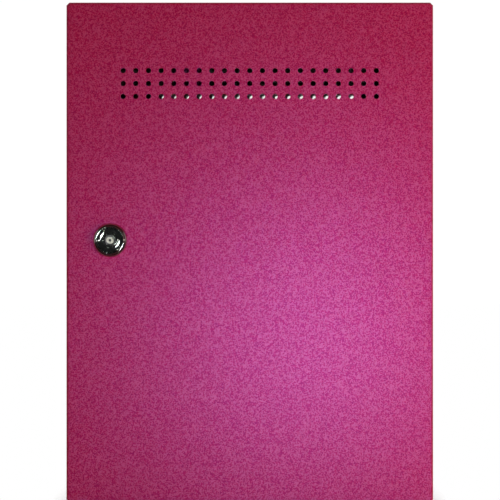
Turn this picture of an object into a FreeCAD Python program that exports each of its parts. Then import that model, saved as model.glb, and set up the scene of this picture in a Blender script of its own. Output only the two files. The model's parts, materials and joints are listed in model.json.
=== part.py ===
"""Countertop phone charging kiosk, coin operated, in folded 1.5 mm steel.

Frame: X to the right when facing the service door, Y from the service door (-Y) to the customer
side (+Y), Z up. The origin is on the surface that the feet stand on, under the middle of the kiosk.
All sizes are in millimetres. "Depth" (t) is measured from the outer face of the service door
towards the customer side, so that y = Y_FACE + t.

The service door is a pan that covers the whole back of the case. It swings on two concealed pin
hinges at its right edge and is held by a tubular cam lock at its left. The customer side has a
sloping fascia with a display and a coin selector, a ledge for the phones, and a plinth with three
bays, each with a USB socket and a push button.
"""

import FreeCAD
import Part
import math
import os

V = FreeCAD.Vector

# ---------------------------------------------------------------- driving dimensions
WIDTH = 300.0  # door and case, side to side
HEIGHT = 406.0  # case, bottom edge to top edge
FOOT_HEIGHT = 10.0
SHEET = 1.5  # steel sheet of door, case, tray, fascia and plate
BEND = 0.5  # inside radius of every fold
RUN = 0.3  # gap left between pieces that only lie beside each other

DOOR_DEPTH = 18.0  # how deep the door pan is
DOOR_DROP = 3.0  # how far the door's bottom edge hangs below the case's
DOOR_GAP = 3.0  # door pan to case frame
DOOR_CORNER = 2.4  # corners of the pan are cut off at 45 degrees
DOOR_LIP = 10.0  # return lip of the pan, on all sides but the hinge side
LOCK_PROUD = 6.0  # lock head in front of the door
TOP_DEPTH = 118.0  # door face to the rear edge of the top
SLOPE_FOOT_DEPTH = 182.0  # door face to the foot of the sloping fascia
PLINTH_DEPTH = 214.0  # door face to the face of the plinth
BUTTON_PROUD = 4.0  # push buttons in front of the plinth
LEDGE_Z = 128.0  # top of the phone ledge
LIP_Z = 140.0  # top of the ledge's lip
LIP_THICK = 5.0  # lip of the ledge, a hem of two sheets

VENT_COLUMNS = 21
VENT_ROWS = 3
VENT_PITCH_X = 10.35
VENT_PITCH_Z = 10.55
VENT_RADIUS = 2.15
VENT_TOP = 55.8  # top of the door to the centre of the top row

LOCK_X = -114.0
LOCK_DROP = 194.5  # top of the door to the lock's centre
LOCK_BARREL = 9.3  # radius of the lock's threaded barrel
HINGE_INSET = 6.0  # hinge axis in from the door's right edge
HINGE_T = 9.0  # hinge axis behind the door's face
HINGE_LEAF = 2.0
HINGE_HALF = 30.0  # half the height of a hinge

PLATE_T = 62.0  # front of the equipment plate
BAY_PITCH = 96.0  # phone bays, centre to centre
SCREW_PROUD = 2.0  # case screws and inlet flange beyond the case's sides

# ---------------------------------------------------------------- places worked out from them
HALF = WIDTH / 2
INNER = HALF - SHEET
Z0 = FOOT_HEIGHT
Z_TOP = Z0 + HEIGHT
DOOR_LOW = Z0 - DOOR_DROP
Y_FACE = -(PLINTH_DEPTH + BUTTON_PROUD - LOCK_PROUD) / 2
LOCK_Z = Z_TOP - LOCK_DROP
FRAME_T = DOOR_DEPTH + DOOR_GAP
HINGE_X = HALF - HINGE_INSET
HINGE_ZS = {"lower": Z0 + 70.0, "upper": Z_TOP - 80.0}
BAYS = {"left": BAY_PITCH, "centre": 0.0, "right": -BAY_PITCH}  # as the customer sees them


def at(t):
    """The y of a depth t behind the door's face."""
    return Y_FACE + t


FRAME_Y = at(FRAME_T)
PLATE_Y = at(PLATE_T)
TOP_Y = at(TOP_DEPTH)
SLOPE_FOOT_Y = at(SLOPE_FOOT_DEPTH)
PLINTH_Y = at(PLINTH_DEPTH)
SLOPE_RISE = Z_TOP - LEDGE_Z
SLOPE_RUN = SLOPE_FOOT_Y - TOP_Y
SLOPE_LENGTH = math.hypot(SLOPE_RISE, SLOPE_RUN)
SLOPE_DEG = math.degrees(math.atan2(SLOPE_RUN, SLOPE_RISE))
# The fascia's own frame: X as before, Y out of the fascia, Z up along it, zero at its foot.
SLOPE = FreeCAD.Placement(V(0, SLOPE_FOOT_Y, LEDGE_Z), FreeCAD.Rotation(V(1, 0, 0), SLOPE_DEG))


# ---------------------------------------------------------------- shape helpers
def box(x, y, z):
    """A block between three (low, high) pairs."""
    return Part.makeBox(x[1] - x[0], y[1] - y[0], z[1] - z[0], V(x[0], y[0], z[0]))


def around(centre, size):
    """The (low, high) pair of a given size about a centre."""
    return (centre - size / 2, centre + size / 2)


def rod(radius, start, end):
    """A cylinder from one point to another."""
    way = V(*end) - V(*start)
    return Part.makeCylinder(radius, way.Length, V(*start), way)


def fused(*shapes):
    return shapes[0].multiFuse(list(shapes[1:])).removeSplitter()


def group(shapes):
    """Separate solids that share one node."""
    return Part.makeCompound(list(shapes))


def slab(x, y, z, corner):
    """A block whose four edges along Y are rounded."""
    block = box(x, y, z)
    return block.makeFillet(corner, edges_along(block, V(0, 1, 0)))


def edges_along(shape, way):
    """The straight edges of a shape that run along a direction."""
    found = []
    for edge in shape.Edges:
        if len(edge.Vertexes) == 2 and isinstance(edge.Curve, Part.Line):
            run = edge.Vertexes[1].Point - edge.Vertexes[0].Point
            if abs(abs(run.normalize().dot(way)) - 1) < 1e-6:
                found.append(edge)
    return found


def edges_at_y(shape, y):
    return [e for e in shape.Edges if all(abs(v.Y - y) < 1e-6 for v in e.Vertexes)]


def in_yz(a, b):
    return V(0, a, b)


def in_xy(a, b):
    return V(a, b, 0)


def in_xz(a, b):
    return V(a, 0, b)


def left_of(way):
    return V(-way.y, way.x, 0)


def folded(points, thickness, bend, plane, sweep):
    """Sheet metal seen edge on and swept: one face follows the points, and the sheet lies to its left."""
    line = [V(a, b, 0) for a, b in points]
    ways = [(q - p).normalize() for p, q in zip(line, line[1:])]
    middle = [line[0] + left_of(ways[0]) * (thickness / 2)]
    for p, w0, w1 in zip(line[1:-1], ways, ways[1:]):
        n0, n1 = left_of(w0), left_of(w1)
        middle.append(p + (n0 + n1) * (thickness / 2 / (1 + n0.dot(n1))))
    middle.append(line[-1] + left_of(ways[-1]) * (thickness / 2))
    radius = bend + thickness / 2

    def side(offset):
        edges, here = [], middle[0] + left_of(ways[0]) * offset
        for p, w0, w1 in zip(middle[1:-1], ways, ways[1:]):
            turn = 1 if w0.x * w1.y - w0.y * w1.x > 0 else -1
            reach = radius * math.tan(w0.getAngle(w1) / 2)
            start = p - w0 * reach
            centre = start + left_of(w0) * (turn * radius)
            out = (p - centre).normalize() * (radius - offset * turn)
            first, last = start + left_of(w0) * offset, p + w1 * reach + left_of(w1) * offset
            edges += [(here, first), (first, centre + out, last)]
            here = last
        return edges + [(here, middle[-1] + left_of(ways[-1]) * offset)]

    right, left = side(-thickness / 2), side(thickness / 2)
    back = [tuple(reversed(e)) for e in reversed(left)]
    loop = right + [(right[-1][-1], left[-1][-1])] + back + [(left[0][0], right[0][0])]
    edges = []
    for e in loop:
        spots = [plane(p.x, p.y) for p in e]
        if len(spots) == 3:
            edges.append(Part.Arc(*spots).toShape())
        elif (spots[1] - spots[0]).Length > 1e-6:
            edges.append(Part.LineSegment(*spots).toShape())
    return Part.Face(Part.Wire(Part.__sortEdges__(edges))).extrude(V(*sweep))


def turned(profile, x, z):
    """A turned piece about an axis along Y. The profile holds (radius, t) corners, and a pair of
    them, ((via), (end)), for an arc."""
    spots = [p[-1] if isinstance(p[0], tuple) else p for p in profile]
    edges = []
    for i, p in enumerate(profile):
        start, end = spots[i - 1], spots[i]
        ends = [V(x + r, at(t), z) for r, t in (start, end)]
        if isinstance(p[0], tuple):
            via = V(x + p[0][0], at(p[0][1]), z)
            edges.append(Part.Arc(ends[0], via, ends[1]).toShape())
        else:
            edges.append(Part.LineSegment(*ends).toShape())
    face = Part.Face(Part.Wire(edges))
    return face.revolve(V(x, 0, z), V(0, 1, 0), 360)


def hexagon(across, y, x, z):
    """A hexagonal bar along Y."""
    r = across / math.sqrt(3)
    ring = [V(x + r * math.cos(a), y[0], z + r * math.sin(a)) for a in
            (math.radians(60 * i) for i in range(7))]
    return Part.Face(Part.makePolygon(ring)).extrude(V(0, y[1] - y[0], 0))


def cable(route, radius, widest=40.0):
    """A lead of straight runs joined by tangent arcs, each as large as its two runs allow."""
    points = [V(*p) for p in route]
    edges, here = [], points[0]
    for a, p, b in zip(points, points[1:], points[2:]):
        w0, w1 = (p - a).normalize(), (b - p).normalize()
        half_turn = w0.getAngle(w1) / 2
        bend = min(0.45 * min((p - a).Length, (b - p).Length) / math.tan(half_turn), widest)
        reach = bend * math.tan(half_turn)
        start, end = p - w0 * reach, p + w1 * reach
        centre = p + (w1 - w0).normalize() * (bend / math.cos(half_turn))
        via = centre + (p - centre).normalize() * bend
        edges += [Part.LineSegment(here, start).toShape(), Part.Arc(start, via, end).toShape()]
        here = end
    edges.append(Part.LineSegment(here, points[-1]).toShape())
    path = Part.Wire(edges)
    ring = Part.Wire(Part.makeCircle(radius, points[0], points[1] - points[0]))
    return path.makePipeShell([ring], True, False)


def on_slope(shape):
    """A shape made in the fascia's own frame, put in its place."""
    return shape.transformed(SLOPE.toMatrix(), True)


def grid(columns, rows, pitch_a, pitch_b):
    """Offsets of a grid about its centre."""
    return [((i - (columns - 1) / 2) * pitch_a, (j - (rows - 1) / 2) * pitch_b)
            for j in range(rows) for i in range(columns)]


PARTS = {}


def piece(name, shape):
    PARTS[name] = shape


# ---------------------------------------------------------------- the service door
def vent_centres():
    middle_z = Z_TOP - VENT_TOP - VENT_PITCH_Z * (VENT_ROWS - 1) / 2
    offsets = grid(VENT_COLUMNS, VENT_ROWS, VENT_PITCH_X, VENT_PITCH_Z)
    return [(dx, middle_z + dz) for dx, dz in offsets]


def service_door():
    pan = box((-HALF, HALF), (at(0), at(DOOR_DEPTH)), (DOOR_LOW, Z_TOP))
    pan = pan.makeChamfer(DOOR_CORNER, edges_along(pan, V(0, 1, 0)))
    pan = pan.makeFillet(SHEET + BEND, edges_at_y(pan, at(0)))
    inside = box((-INNER, INNER), (at(SHEET), at(DOOR_DEPTH - SHEET)), (DOOR_LOW + SHEET, Z_TOP - SHEET))
    inside = inside.makeChamfer(SHEET, edges_along(inside, V(0, 1, 0)))
    mouth_z = (DOOR_LOW + SHEET + DOOR_LIP, Z_TOP - SHEET - DOOR_LIP)
    mouth = box((-INNER + DOOR_LIP, INNER), (at(DOOR_DEPTH - SHEET), at(DOOR_DEPTH)), mouth_z)
    holes = [rod(VENT_RADIUS, (x, at(0), z), (x, at(SHEET), z)) for x, z in vent_centres()]
    holes.append(rod(LOCK_BARREL + 0.2, (LOCK_X, at(0), LOCK_Z), (LOCK_X, at(SHEET), LOCK_Z)))
    return pan.cut(inside).cut(mouth).cut(group(holes))


STIFFENER_X = 70.0
STIFFENER_DEEP = 12.0


def door_stiffener(x):
    """A hat-section bar spot-welded inside the door, below the vents."""
    foot_y, crown_y = at(SHEET), at(SHEET + STIFFENER_DEEP)
    wide, crown = 22.0, 12.0
    path = [(x - wide, foot_y), (x - crown, foot_y), (x - crown, crown_y), (x + crown, crown_y),
            (x + crown, foot_y), (x + wide, foot_y)]
    height = (Z0 + 30.0, Z_TOP - 110.0)
    bar = folded(path, 1.2, BEND, in_xy, (0, 0, height[1] - height[0]))
    return bar.translated(V(0, 0, height[0]))


def door_buffers():
    """Rubber buffers on the door's lip that meet the case frame."""
    x = -INNER + DOOR_LIP / 2
    ends = (at(DOOR_DEPTH), at(FRAME_T) - RUN)
    return group(rod(4.0, (x, ends[0], z), (x, ends[1], z))
                 for z in (Z0 + 50.0, LOCK_Z - 60.0, LOCK_Z + 60.0, Z_TOP - 50.0))


# ---------------------------------------------------------------- the concealed hinges
HINGE_BARREL = 3.5
HINGE_PIN = 2.0
KNUCKLE = 10.0  # half the height of the frame leaf's knuckle


def hinge_barrel(z):
    """The outside and the bore of a knuckle between two heights."""
    ends = [(HINGE_X, at(HINGE_T), h) for h in z]
    return rod(HINGE_BARREL, *ends), rod(HINGE_PIN + 0.05, *ends)


def hinge_frame_leaf(z):
    """Goose-neck leaf: one knuckle, an arm round the door's flange, and a foot on the frame."""
    arm_t = HINGE_T - HINGE_BARREL + HINGE_LEAF
    neck_x, foot_x = HINGE_X - 13.0, HINGE_X - 28.0
    half = KNUCKLE - RUN
    path = [(HINGE_X, at(arm_t)), (neck_x, at(arm_t)), (neck_x, FRAME_Y), (foot_x, FRAME_Y)]
    arm = folded(path, HINGE_LEAF, BEND, in_xy, (0, 0, 2 * half)).translated(V(0, 0, z - half))
    foot_y = (FRAME_Y - HINGE_LEAF, FRAME_Y)
    foot = box((foot_x, neck_x - HINGE_LEAF - 1), foot_y, (z - HINGE_HALF, z + HINGE_HALF))
    outside, bore = hinge_barrel((z - half, z + half))
    leaf = fused(arm, foot, outside).cut(bore)
    screw_x = (foot_x + neck_x) / 2 - 2
    for dz in (-20.0, 20.0):
        leaf = leaf.cut(rod(2.2, (screw_x, foot_y[0], z + dz), (screw_x, foot_y[1], z + dz)))
    return leaf


def hinge_door_leaf(z):
    """Leaf welded inside the door, with a knuckle above and one below the frame leaf's."""
    out_x = HINGE_X + HINGE_BARREL
    path = [(HINGE_X - 26.0, at(SHEET)), (out_x, at(SHEET)), (out_x, at(HINGE_T))]
    solids = []
    for low in (-HINGE_HALF, KNUCKLE + RUN):
        high = low + HINGE_HALF - KNUCKLE - RUN
        strip = folded(path, HINGE_LEAF, BEND, in_xy, (0, 0, high - low))
        solids.append(strip.translated(V(0, 0, z + low)))
        solids.append(hinge_barrel((z + low, z + high))[0])
    plate = box((HINGE_X - 26.0, HINGE_X - 5.0), (at(SHEET), at(SHEET) + HINGE_LEAF),
                (z - HINGE_HALF, z + HINGE_HALF))
    bore = hinge_barrel((z - HINGE_HALF, z + HINGE_HALF))[1]
    return fused(plate, *solids).cut(bore)


def hinge_pin(z):
    low, high = z - HINGE_HALF - 1, z + HINGE_HALF + 0.2
    axis = (HINGE_X, at(HINGE_T))
    return fused(rod(HINGE_PIN, (*axis, low), (*axis, high)),
                 rod(3.0, (*axis, high), (*axis, high + 1.5)))


# ---------------------------------------------------------------- the tubular cam lock
BARREL_END = 22.8  # rear of the barrel, behind the door's face
CAM_T = (23.6, 26.1)
CORE_RADIUS = 6.0
KEYWAY_OUTER = 4.1
KEYWAY_POST = 2.9


def lock_housing():
    """Dished chrome head with a raised lip round the keyway, and the barrel behind it."""
    return turned([
        (KEYWAY_OUTER, 3.0),
        (KEYWAY_OUTER, -4.4),
        (4.4, -4.7),
        (5.0, -4.7),
        (5.3, -4.3),
        (5.5, -3.1),
        ((7.9, -2.4), (10.2, -3.6)),
        (10.5, -5.2),
        ((11.05, -LOCK_PROUD), (11.6, -5.2)),
        (11.8, -4.2),
        ((13.2, -2.9), (13.9, -0.8)),
        (13.9, 0.0),
        (LOCK_BARREL, 0.0),
        (LOCK_BARREL, BARREL_END),
        (CORE_RADIUS + 0.05, BARREL_END),
        (CORE_RADIUS + 0.05, 3.0),
    ], LOCK_X, LOCK_Z)


def lock_cylinder():
    """The part that turns with the key: post, core and square tail."""
    turned_part = turned([
        (0.0, -3.6),
        (1.0, -3.6),
        (1.2, -4.2),
        (KEYWAY_POST - 0.3, -4.2),
        (KEYWAY_POST, -3.9),
        (KEYWAY_POST, 3.1),
        (CORE_RADIUS, 3.1),
        (CORE_RADIUS, BARREL_END - 0.3),
        (0.0, BARREL_END - 0.3),
    ], LOCK_X, LOCK_Z)
    tail = box(around(LOCK_X, 6.4), (at(BARREL_END - 0.3), at(CAM_T[1])), around(LOCK_Z, 6.4))
    notch_z = LOCK_Z + KEYWAY_POST
    notch = rod(0.7, (LOCK_X, at(-5), notch_z), (LOCK_X, at(-1), notch_z))
    bore = rod(2.0, (LOCK_X, at(16), LOCK_Z), (LOCK_X, at(CAM_T[1]), LOCK_Z))
    return fused(turned_part, tail).cut(notch).cut(bore)


def lock_nut():
    nut = hexagon(24.0, (at(SHEET), at(SHEET + 5)), LOCK_X, LOCK_Z)
    return nut.cut(rod(LOCK_BARREL + 0.05, (LOCK_X, at(0), LOCK_Z), (LOCK_X, at(9), LOCK_Z)))


CAM_REACH = 32.0


def lock_cam():
    """Flat cam, hanging down when unlocked."""
    y = (at(CAM_T[0]), at(CAM_T[1]))
    plate = box(around(LOCK_X, 16.0), y, (LOCK_Z - CAM_REACH, LOCK_Z))
    plate = fused(plate, rod(8.0, (LOCK_X, y[0], LOCK_Z), (LOCK_X, y[1], LOCK_Z)))
    tip = [e for e in edges_along(plate, V(0, 1, 0)) if e.Vertexes[0].Z < LOCK_Z - CAM_REACH + 1]
    plate = plate.makeFillet(3.0, tip)
    return plate.cut(box(around(LOCK_X, 6.6), y, around(LOCK_Z, 6.6)))


def cam_screw():
    head = hexagon(8.0, (at(CAM_T[1]), at(CAM_T[1] + 3.5)), LOCK_X, LOCK_Z)
    return fused(head, rod(1.95, (LOCK_X, at(17), LOCK_Z), (LOCK_X, at(CAM_T[1] + 1), LOCK_Z)))


# ---------------------------------------------------------------- the case
FRAME_LEFT = 22.0  # width of the frame beside the lock
FRAME_RIGHT = 36.0  # width of the frame that carries the hinges
FRAME_TOP = 20.0
FAN_Y = at(126.0)
FAN_Z = Z0 + 110.0
FAN_SIZE = 80.0
FAN_DEEP = 25.0
INLET_Y = at(58.0)
INLET_Z = Z0 + 52.0
INLET_WINDOW = (27.4, 47.4)  # along Y and Z
SIDE_SCREW_Z = Z0 + 12.0
SIDE_SCREW_YS = (FRAME_Y + 30.0, FRAME_Y + 95.0, FRAME_Y + 165.0)
ANCHOR_RADIUS = 4.5
ANCHOR_SPACING = (266.0, 90.0)
ANCHOR_Y = 15.0
FOOT_X = 118.0
FOOT_YS = (-62.0, 84.0)


def side_outline():
    """The case seen from the side, as a prism across the whole width."""
    lip_y = SLOPE_FOOT_Y - SLOPE_RUN * (LIP_Z - LEDGE_Z) / SLOPE_RISE
    corners = [(FRAME_Y, Z0), (FRAME_Y, Z_TOP), (TOP_Y, Z_TOP), (lip_y, LIP_Z), (PLINTH_Y, LIP_Z),
               (PLINTH_Y, Z0), (FRAME_Y, Z0)]
    wire = Part.makePolygon([V(-HALF, y, z) for y, z in corners])
    return Part.Face(wire).extrude(V(WIDTH, 0, 0))


def case_wrap():
    """Both sides, the top, and the frame round the door opening, folded from one sheet."""
    block = box((-HALF, HALF), (FRAME_Y, PLINTH_Y), (Z0, Z_TOP))
    top_corners = [e for e in edges_along(block, V(0, 1, 0)) if e.Vertexes[0].Z > Z_TOP - 1]
    block = block.makeFillet(SHEET + BEND, top_corners)
    front = [e for e in edges_at_y(block, FRAME_Y) if max(v.Z for v in e.Vertexes) > Z0 + 1]
    block = block.makeFillet(SHEET + BEND, front)
    inside = box((-INNER, INNER), (FRAME_Y + SHEET, PLINTH_Y), (Z0, Z_TOP - SHEET))
    opening = box((-HALF + FRAME_LEFT, HALF - FRAME_RIGHT), (FRAME_Y, FRAME_Y + SHEET),
                  (Z0, Z_TOP - FRAME_TOP))
    shell = block.cut(inside).cut(opening).common(side_outline())
    wide, high = INLET_WINDOW
    holes = [box((INNER, HALF), around(INLET_Y, wide), around(INLET_Z, high))]
    for dy, dz in grid(7, 7, VENT_PITCH_X, VENT_PITCH_X):
        if math.hypot(dy, dz) < FAN_SIZE / 2 - 4:
            y, z = FAN_Y + dy, FAN_Z + dz
            holes.append(rod(VENT_RADIUS, (INNER, y, z), (HALF, y, z)))
            holes.append(rod(VENT_RADIUS, (-HALF, y, z), (-INNER, y, z)))
    return shell.cut(group(holes))


def base_tray():
    """Floor of the case, with upturned edges and the holes for anchoring the kiosk."""
    x = (-INNER + 0.2, INNER - 0.2)
    y = (FRAME_Y + SHEET + 0.2, PLINTH_Y - SHEET - 0.2)
    tray = box(x, y, (Z0, Z0 + 20.0))
    floor_edges = [e for e in tray.Edges if all(abs(v.Z - Z0) < 1e-6 for v in e.Vertexes)]
    tray = tray.makeFillet(SHEET, floor_edges)
    tray = tray.cut(box((x[0] + SHEET, x[1] - SHEET), (y[0] + SHEET, y[1] - SHEET),
                        (Z0 + SHEET, Z0 + 21.0)))
    way_out = box((BOX_X[0] - 4, BOX_X[1] + 4), (y[0], y[0] + SHEET), (Z0 + SHEET, Z0 + 20.0))
    tray = tray.cut(way_out)
    holes = [rod(ANCHOR_RADIUS, (px, py, Z0), (px, py, Z0 + SHEET)) for px, py in anchor_places()]
    holes += [rod(2.2, (px, py, Z0), (px, py, Z0 + SHEET)) for px, py in foot_places()]
    return tray.cut(group(holes))


def anchor_places():
    dx, dy = ANCHOR_SPACING[0] / 2, ANCHOR_SPACING[1] / 2
    return [(sx * dx, ANCHOR_Y + sy * dy) for sx in (-1, 1) for sy in (-1, 1)]


def foot_places():
    return [(sx * FOOT_X, y) for sx in (-1, 1) for y in FOOT_YS]


def rubber_foot(x, y):
    foot = Part.makeCone(12.0, 14.0, FOOT_HEIGHT, V(x, y, 0))
    return foot.cut(rod(5.0, (x, y, 0), (x, y, 5.0))).cut(rod(2.1, (x, y, 0), (x, y, FOOT_HEIGHT)))


def foot_screw(x, y):
    """Pan head in the foot's counterbore, shank through the tray into a nut."""
    return fused(rod(4.2, (x, y, 2.2), (x, y, 5.0)), rod(2.0, (x, y, 4.0), (x, y, Z0 + 8.0)),
                 rod(4.0, (x, y, Z0 + SHEET), (x, y, Z0 + SHEET + 3.2)))


def case_screw(side, y, z):
    """Button-head screw through the case's side into the tray's flange."""
    x = side * HALF
    head = Part.makeCone(4.2, 2.4, SCREW_PROUD, V(x, y, z), V(side, 0, 0))
    socket = rod(1.3, (x + side * 0.8, y, z), (x + side * SCREW_PROUD, y, z))
    return head.cut(socket)


def fascia():
    """Customer side, folded from one sheet: plinth, hemmed lip, ledge and sloping panel."""
    top_z = Z_TOP - SHEET - 0.2
    top_y = TOP_Y + SLOPE_RUN * (Z_TOP - top_z) / SLOPE_RISE
    path = [(PLINTH_Y, Z0), (PLINTH_Y, LIP_Z), (PLINTH_Y - LIP_THICK, LIP_Z),
            (PLINTH_Y - LIP_THICK, LEDGE_Z), (SLOPE_FOOT_Y, LEDGE_Z), (top_y, top_z),
            (top_y - 16.0, top_z)]
    wide = 2 * INNER - 0.4
    sheet = folded(path, SHEET, BEND, in_yz, (wide, 0, 0)).translated(V(-wide / 2, 0, 0))
    cuts = [on_slope(box(around(DISPLAY_X, 160.0), (-3, 1), around(DISPLAY_V, 92.0)))]
    cuts.append(on_slope(box(around(COIN_X, 61.0), (-3, 1), around(COIN_V, 99.0))))
    for x in BAYS.values():
        cuts.append(box(around(x + SOCKET_DX, SOCKET_BODY[0] + 0.4), (PLINTH_Y - 3, PLINTH_Y + 1),
                        around(SOCKET_Z, SOCKET_BODY[1] + 0.4)))
        cuts.append(rod(BUTTON_THREAD + 0.1, (x + BUTTON_DX, PLINTH_Y - 3, SOCKET_Z),
                        (x + BUTTON_DX, PLINTH_Y + 1, SOCKET_Z)))
    return sheet.cut(group(cuts))


def ledge_mat():
    """Ribbed rubber mat in the ledge's channel."""
    y = (SLOPE_FOOT_Y + 1.5, PLINTH_Y - LIP_THICK - 0.5)
    mat = box((-INNER + 3, INNER - 3), y, (LEDGE_Z, LEDGE_Z + 2.0))
    ribs = []
    for i in range(5):
        rib_y = around(y[0] + 3.2 + i * 4.4, 1.2)
        ribs.append(box((-INNER + 3, INNER - 3), rib_y, (LEDGE_Z + 1.5, LEDGE_Z + 2.8)))
    return fused(mat, *ribs)


def phone_rest_strips():
    """Soft strips on the slope, two to a bay, that the phones lean on."""
    strips = []
    for x in BAYS.values():
        for dx in (-24.0, 24.0):
            strips.append(on_slope(slab(around(x + dx, 8.0), (0, 2.0), (14.0, 150.0), 3.9)))
    return group(strips)


# ---------------------------------------------------------------- display and coin selector
DISPLAY_X = 44.0
DISPLAY_V = 232.0
DISPLAY_BEZEL = (176.0, 108.0)
DISPLAY_VIEW = (155.0, 87.0)


def display_bezel():
    wide, high = DISPLAY_BEZEL
    frame = slab(around(DISPLAY_X, wide), (0, 3.0), around(DISPLAY_V, high), 6.0)
    frame = frame.makeChamfer(1.2, edges_at_y(frame, 3.0))
    wide, high = DISPLAY_VIEW
    window = slab(around(DISPLAY_X, wide), (-1, 4.0), around(DISPLAY_V, high), 2.0)
    return on_slope(frame.cut(window))


def display_glass():
    return on_slope(box(around(DISPLAY_X, 159.0), (-2.0, -0.1), around(DISPLAY_V, 91.0)))


def display_module():
    """Panel in a black back tray, with its driver board."""
    tray = box(around(DISPLAY_X, 165.0), (-10.0, -2.2), around(DISPLAY_V, 100.0))
    board = box(around(DISPLAY_X, 90.0), (-16.0, -10.0), around(DISPLAY_V, 52.0))
    seat = box(around(DISPLAY_X, 159.4), (-2.3, -2.0), around(DISPLAY_V, 91.4))
    return on_slope(fused(tray, board).cut(seat))


COIN_X = -97.0
COIN_V = 230.0
COIN_PLATE = (66.0, 106.0)
COIN_DEEP = 46.0
COIN_SLOT = (3.2, 30.0)
COIN_SLOT_V = COIN_V + 24.0
COIN_SLOT_X = COIN_X + 14.0
RETURN_X = COIN_X - 15.0
RETURN_RADIUS = 7.0
CUP = (36.0, 28.0, 24.0)  # reject cup: wide, high, deep
CUP_V = COIN_V - 32.0
FLAP_THICK = 1.6
FLAP_N = -4.0  # flap's pivot behind the fascia's face


def coin_faceplate():
    plate = slab(around(COIN_X, COIN_PLATE[0]), (0, 3.0), around(COIN_V, COIN_PLATE[1]), 5.0)
    plate = plate.makeFillet(1.0, edges_at_y(plate, 3.0))
    nose = slab(around(COIN_SLOT_X, 15.0), (2.0, 8.0), around(COIN_SLOT_V, 44.0), 5.0)
    nose = nose.makeChamfer(2.0, edges_at_y(nose, 8.0))
    collar = rod(RETURN_RADIUS + 3.0, (RETURN_X, 2.0, COIN_SLOT_V), (RETURN_X, 5.0, COIN_SLOT_V))
    cup_rim = slab(around(COIN_X, CUP[0] + 6), (2.0, 4.5), around(CUP_V, CUP[1] + 6), 4.0)
    body = fused(plate, nose, collar, cup_rim)
    cuts = [
        box(around(COIN_SLOT_X, COIN_SLOT[0]), (-1, 9), around(COIN_SLOT_V, COIN_SLOT[1])),
        rod(RETURN_RADIUS + 0.1, (RETURN_X, -1, COIN_SLOT_V), (RETURN_X, 6, COIN_SLOT_V)),
        slab(around(COIN_X, CUP[0] - 1), (-1, 5), around(CUP_V, CUP[1] - 1), 3.0),
    ]
    return on_slope(body.cut(group(cuts)))


def coin_mechanism():
    """Selector body: a coin runway down to the outlet, and the reject cup at its foot."""
    body = slab(around(COIN_X, 60.0), (-COIN_DEEP, -0.2), around(COIN_V, 98.0), 3.0)
    low = COIN_V - 49.0
    cuts = [
        box(around(COIN_SLOT_X, COIN_SLOT[0]), (-40.0, 1), around(COIN_SLOT_V, COIN_SLOT[1])),
        box(around(COIN_SLOT_X, COIN_SLOT[0]), (-40.0, -28.0), (low - 1, COIN_SLOT_V)),
        rod(RETURN_RADIUS + 0.4, (RETURN_X, -14.0, COIN_SLOT_V), (RETURN_X, 1, COIN_SLOT_V)),
        box(around(COIN_X, CUP[0]), (-CUP[2], 1), around(CUP_V, CUP[1])),
    ]
    return on_slope(body.cut(group(cuts)))


def coin_return_button():
    cap = rod(RETURN_RADIUS, (RETURN_X, -6.0, COIN_SLOT_V), (RETURN_X, 9.5, COIN_SLOT_V))
    cap = cap.makeFillet(1.5, [e for e in cap.Edges if abs(e.BoundBox.YMin - 9.5) < 1e-6])
    stem = rod(3.0, (RETURN_X, -9.0, COIN_SLOT_V), (RETURN_X, -6.0, COIN_SLOT_V))
    return on_slope(fused(cap, stem))


def flap_pivot():
    """Middle of the flap's pivot, in the kiosk's frame."""
    return SLOPE.multVec(V(COIN_X, FLAP_N, CUP_V + CUP[1] / 2 - 2.4))


def coin_return_flap():
    """Hangs straight down from its pivot, inside the cup."""
    p = flap_pivot()
    wide, drop = CUP[0] - 2.0, CUP[1] - 5.0
    plate = box(around(p.x, wide), around(p.y, FLAP_THICK), (p.z - drop, p.z))
    return fused(plate, rod(1.6, (p.x - wide / 2, p.y, p.z), (p.x + wide / 2, p.y, p.z)))


def chute_y():
    """Depth range of the chute, under the selector's outlet."""
    outlet = SLOPE.multVec(V(COIN_SLOT_X, -34.0, COIN_V - 49.0))
    return around(outlet.y, 26.0)


CHUTE_Z = (Z0 + 82.5, Z0 + 280.0)
CHUTE_X = around(COIN_SLOT_X, 34.0)
BOX_X = (-111.0, -30.0)
BOX_Y = (at(52.0), at(152.0))
BOX_Z = (Z0 + SHEET, Z0 + 80.0)


def coin_chute():
    """Folded square tube from the selector to the cash box, with a bracket to the plate."""
    y = chute_y()
    tube = box(CHUTE_X, y, CHUTE_Z)
    tube = tube.cut(box((CHUTE_X[0] + 1, CHUTE_X[1] - 1), (y[0] + 1, y[1] - 1), CHUTE_Z))
    x = (CHUTE_X[0] + 10, CHUTE_X[1] - 10)
    heights = (CHUTE_Z[0] + 35.0, CHUTE_Z[1] - 40.0)
    tabs = [box(x, (PLATE_Y + SHEET, y[0]), (z, z + 1.5)) for z in heights]
    feet = [box(x, (PLATE_Y + SHEET, PLATE_Y + 2 * SHEET), (z, z + 14)) for z in heights]
    return fused(tube, *tabs, *feet)


def cash_box():
    """Open steel box, with the two clips of its handle."""
    body = slab_z(BOX_X, BOX_Y, BOX_Z, 3.0)
    t = 1.0
    inside = box((BOX_X[0] + t, BOX_X[1] - t), (BOX_Y[0] + t, BOX_Y[1] - t), (BOX_Z[0] + t, BOX_Z[1] + 1))
    body = body.cut(inside)
    clips = []
    for x in handle_ends():
        clip = box(around(x, 8.0), (BOX_Y[0] - 7.0, BOX_Y[0]), around(HANDLE_Z, 9.0))
        clips.append(clip.cut(rod(2.6, (x - 5, HANDLE_Y, HANDLE_Z), (x + 5, HANDLE_Y, HANDLE_Z))))
    return fused(body, *clips)


def slab_z(x, y, z, corner):
    """A block whose four edges along Z are rounded."""
    block = box(x, y, z)
    return block.makeFillet(corner, edges_along(block, V(0, 0, 1)))


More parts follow.
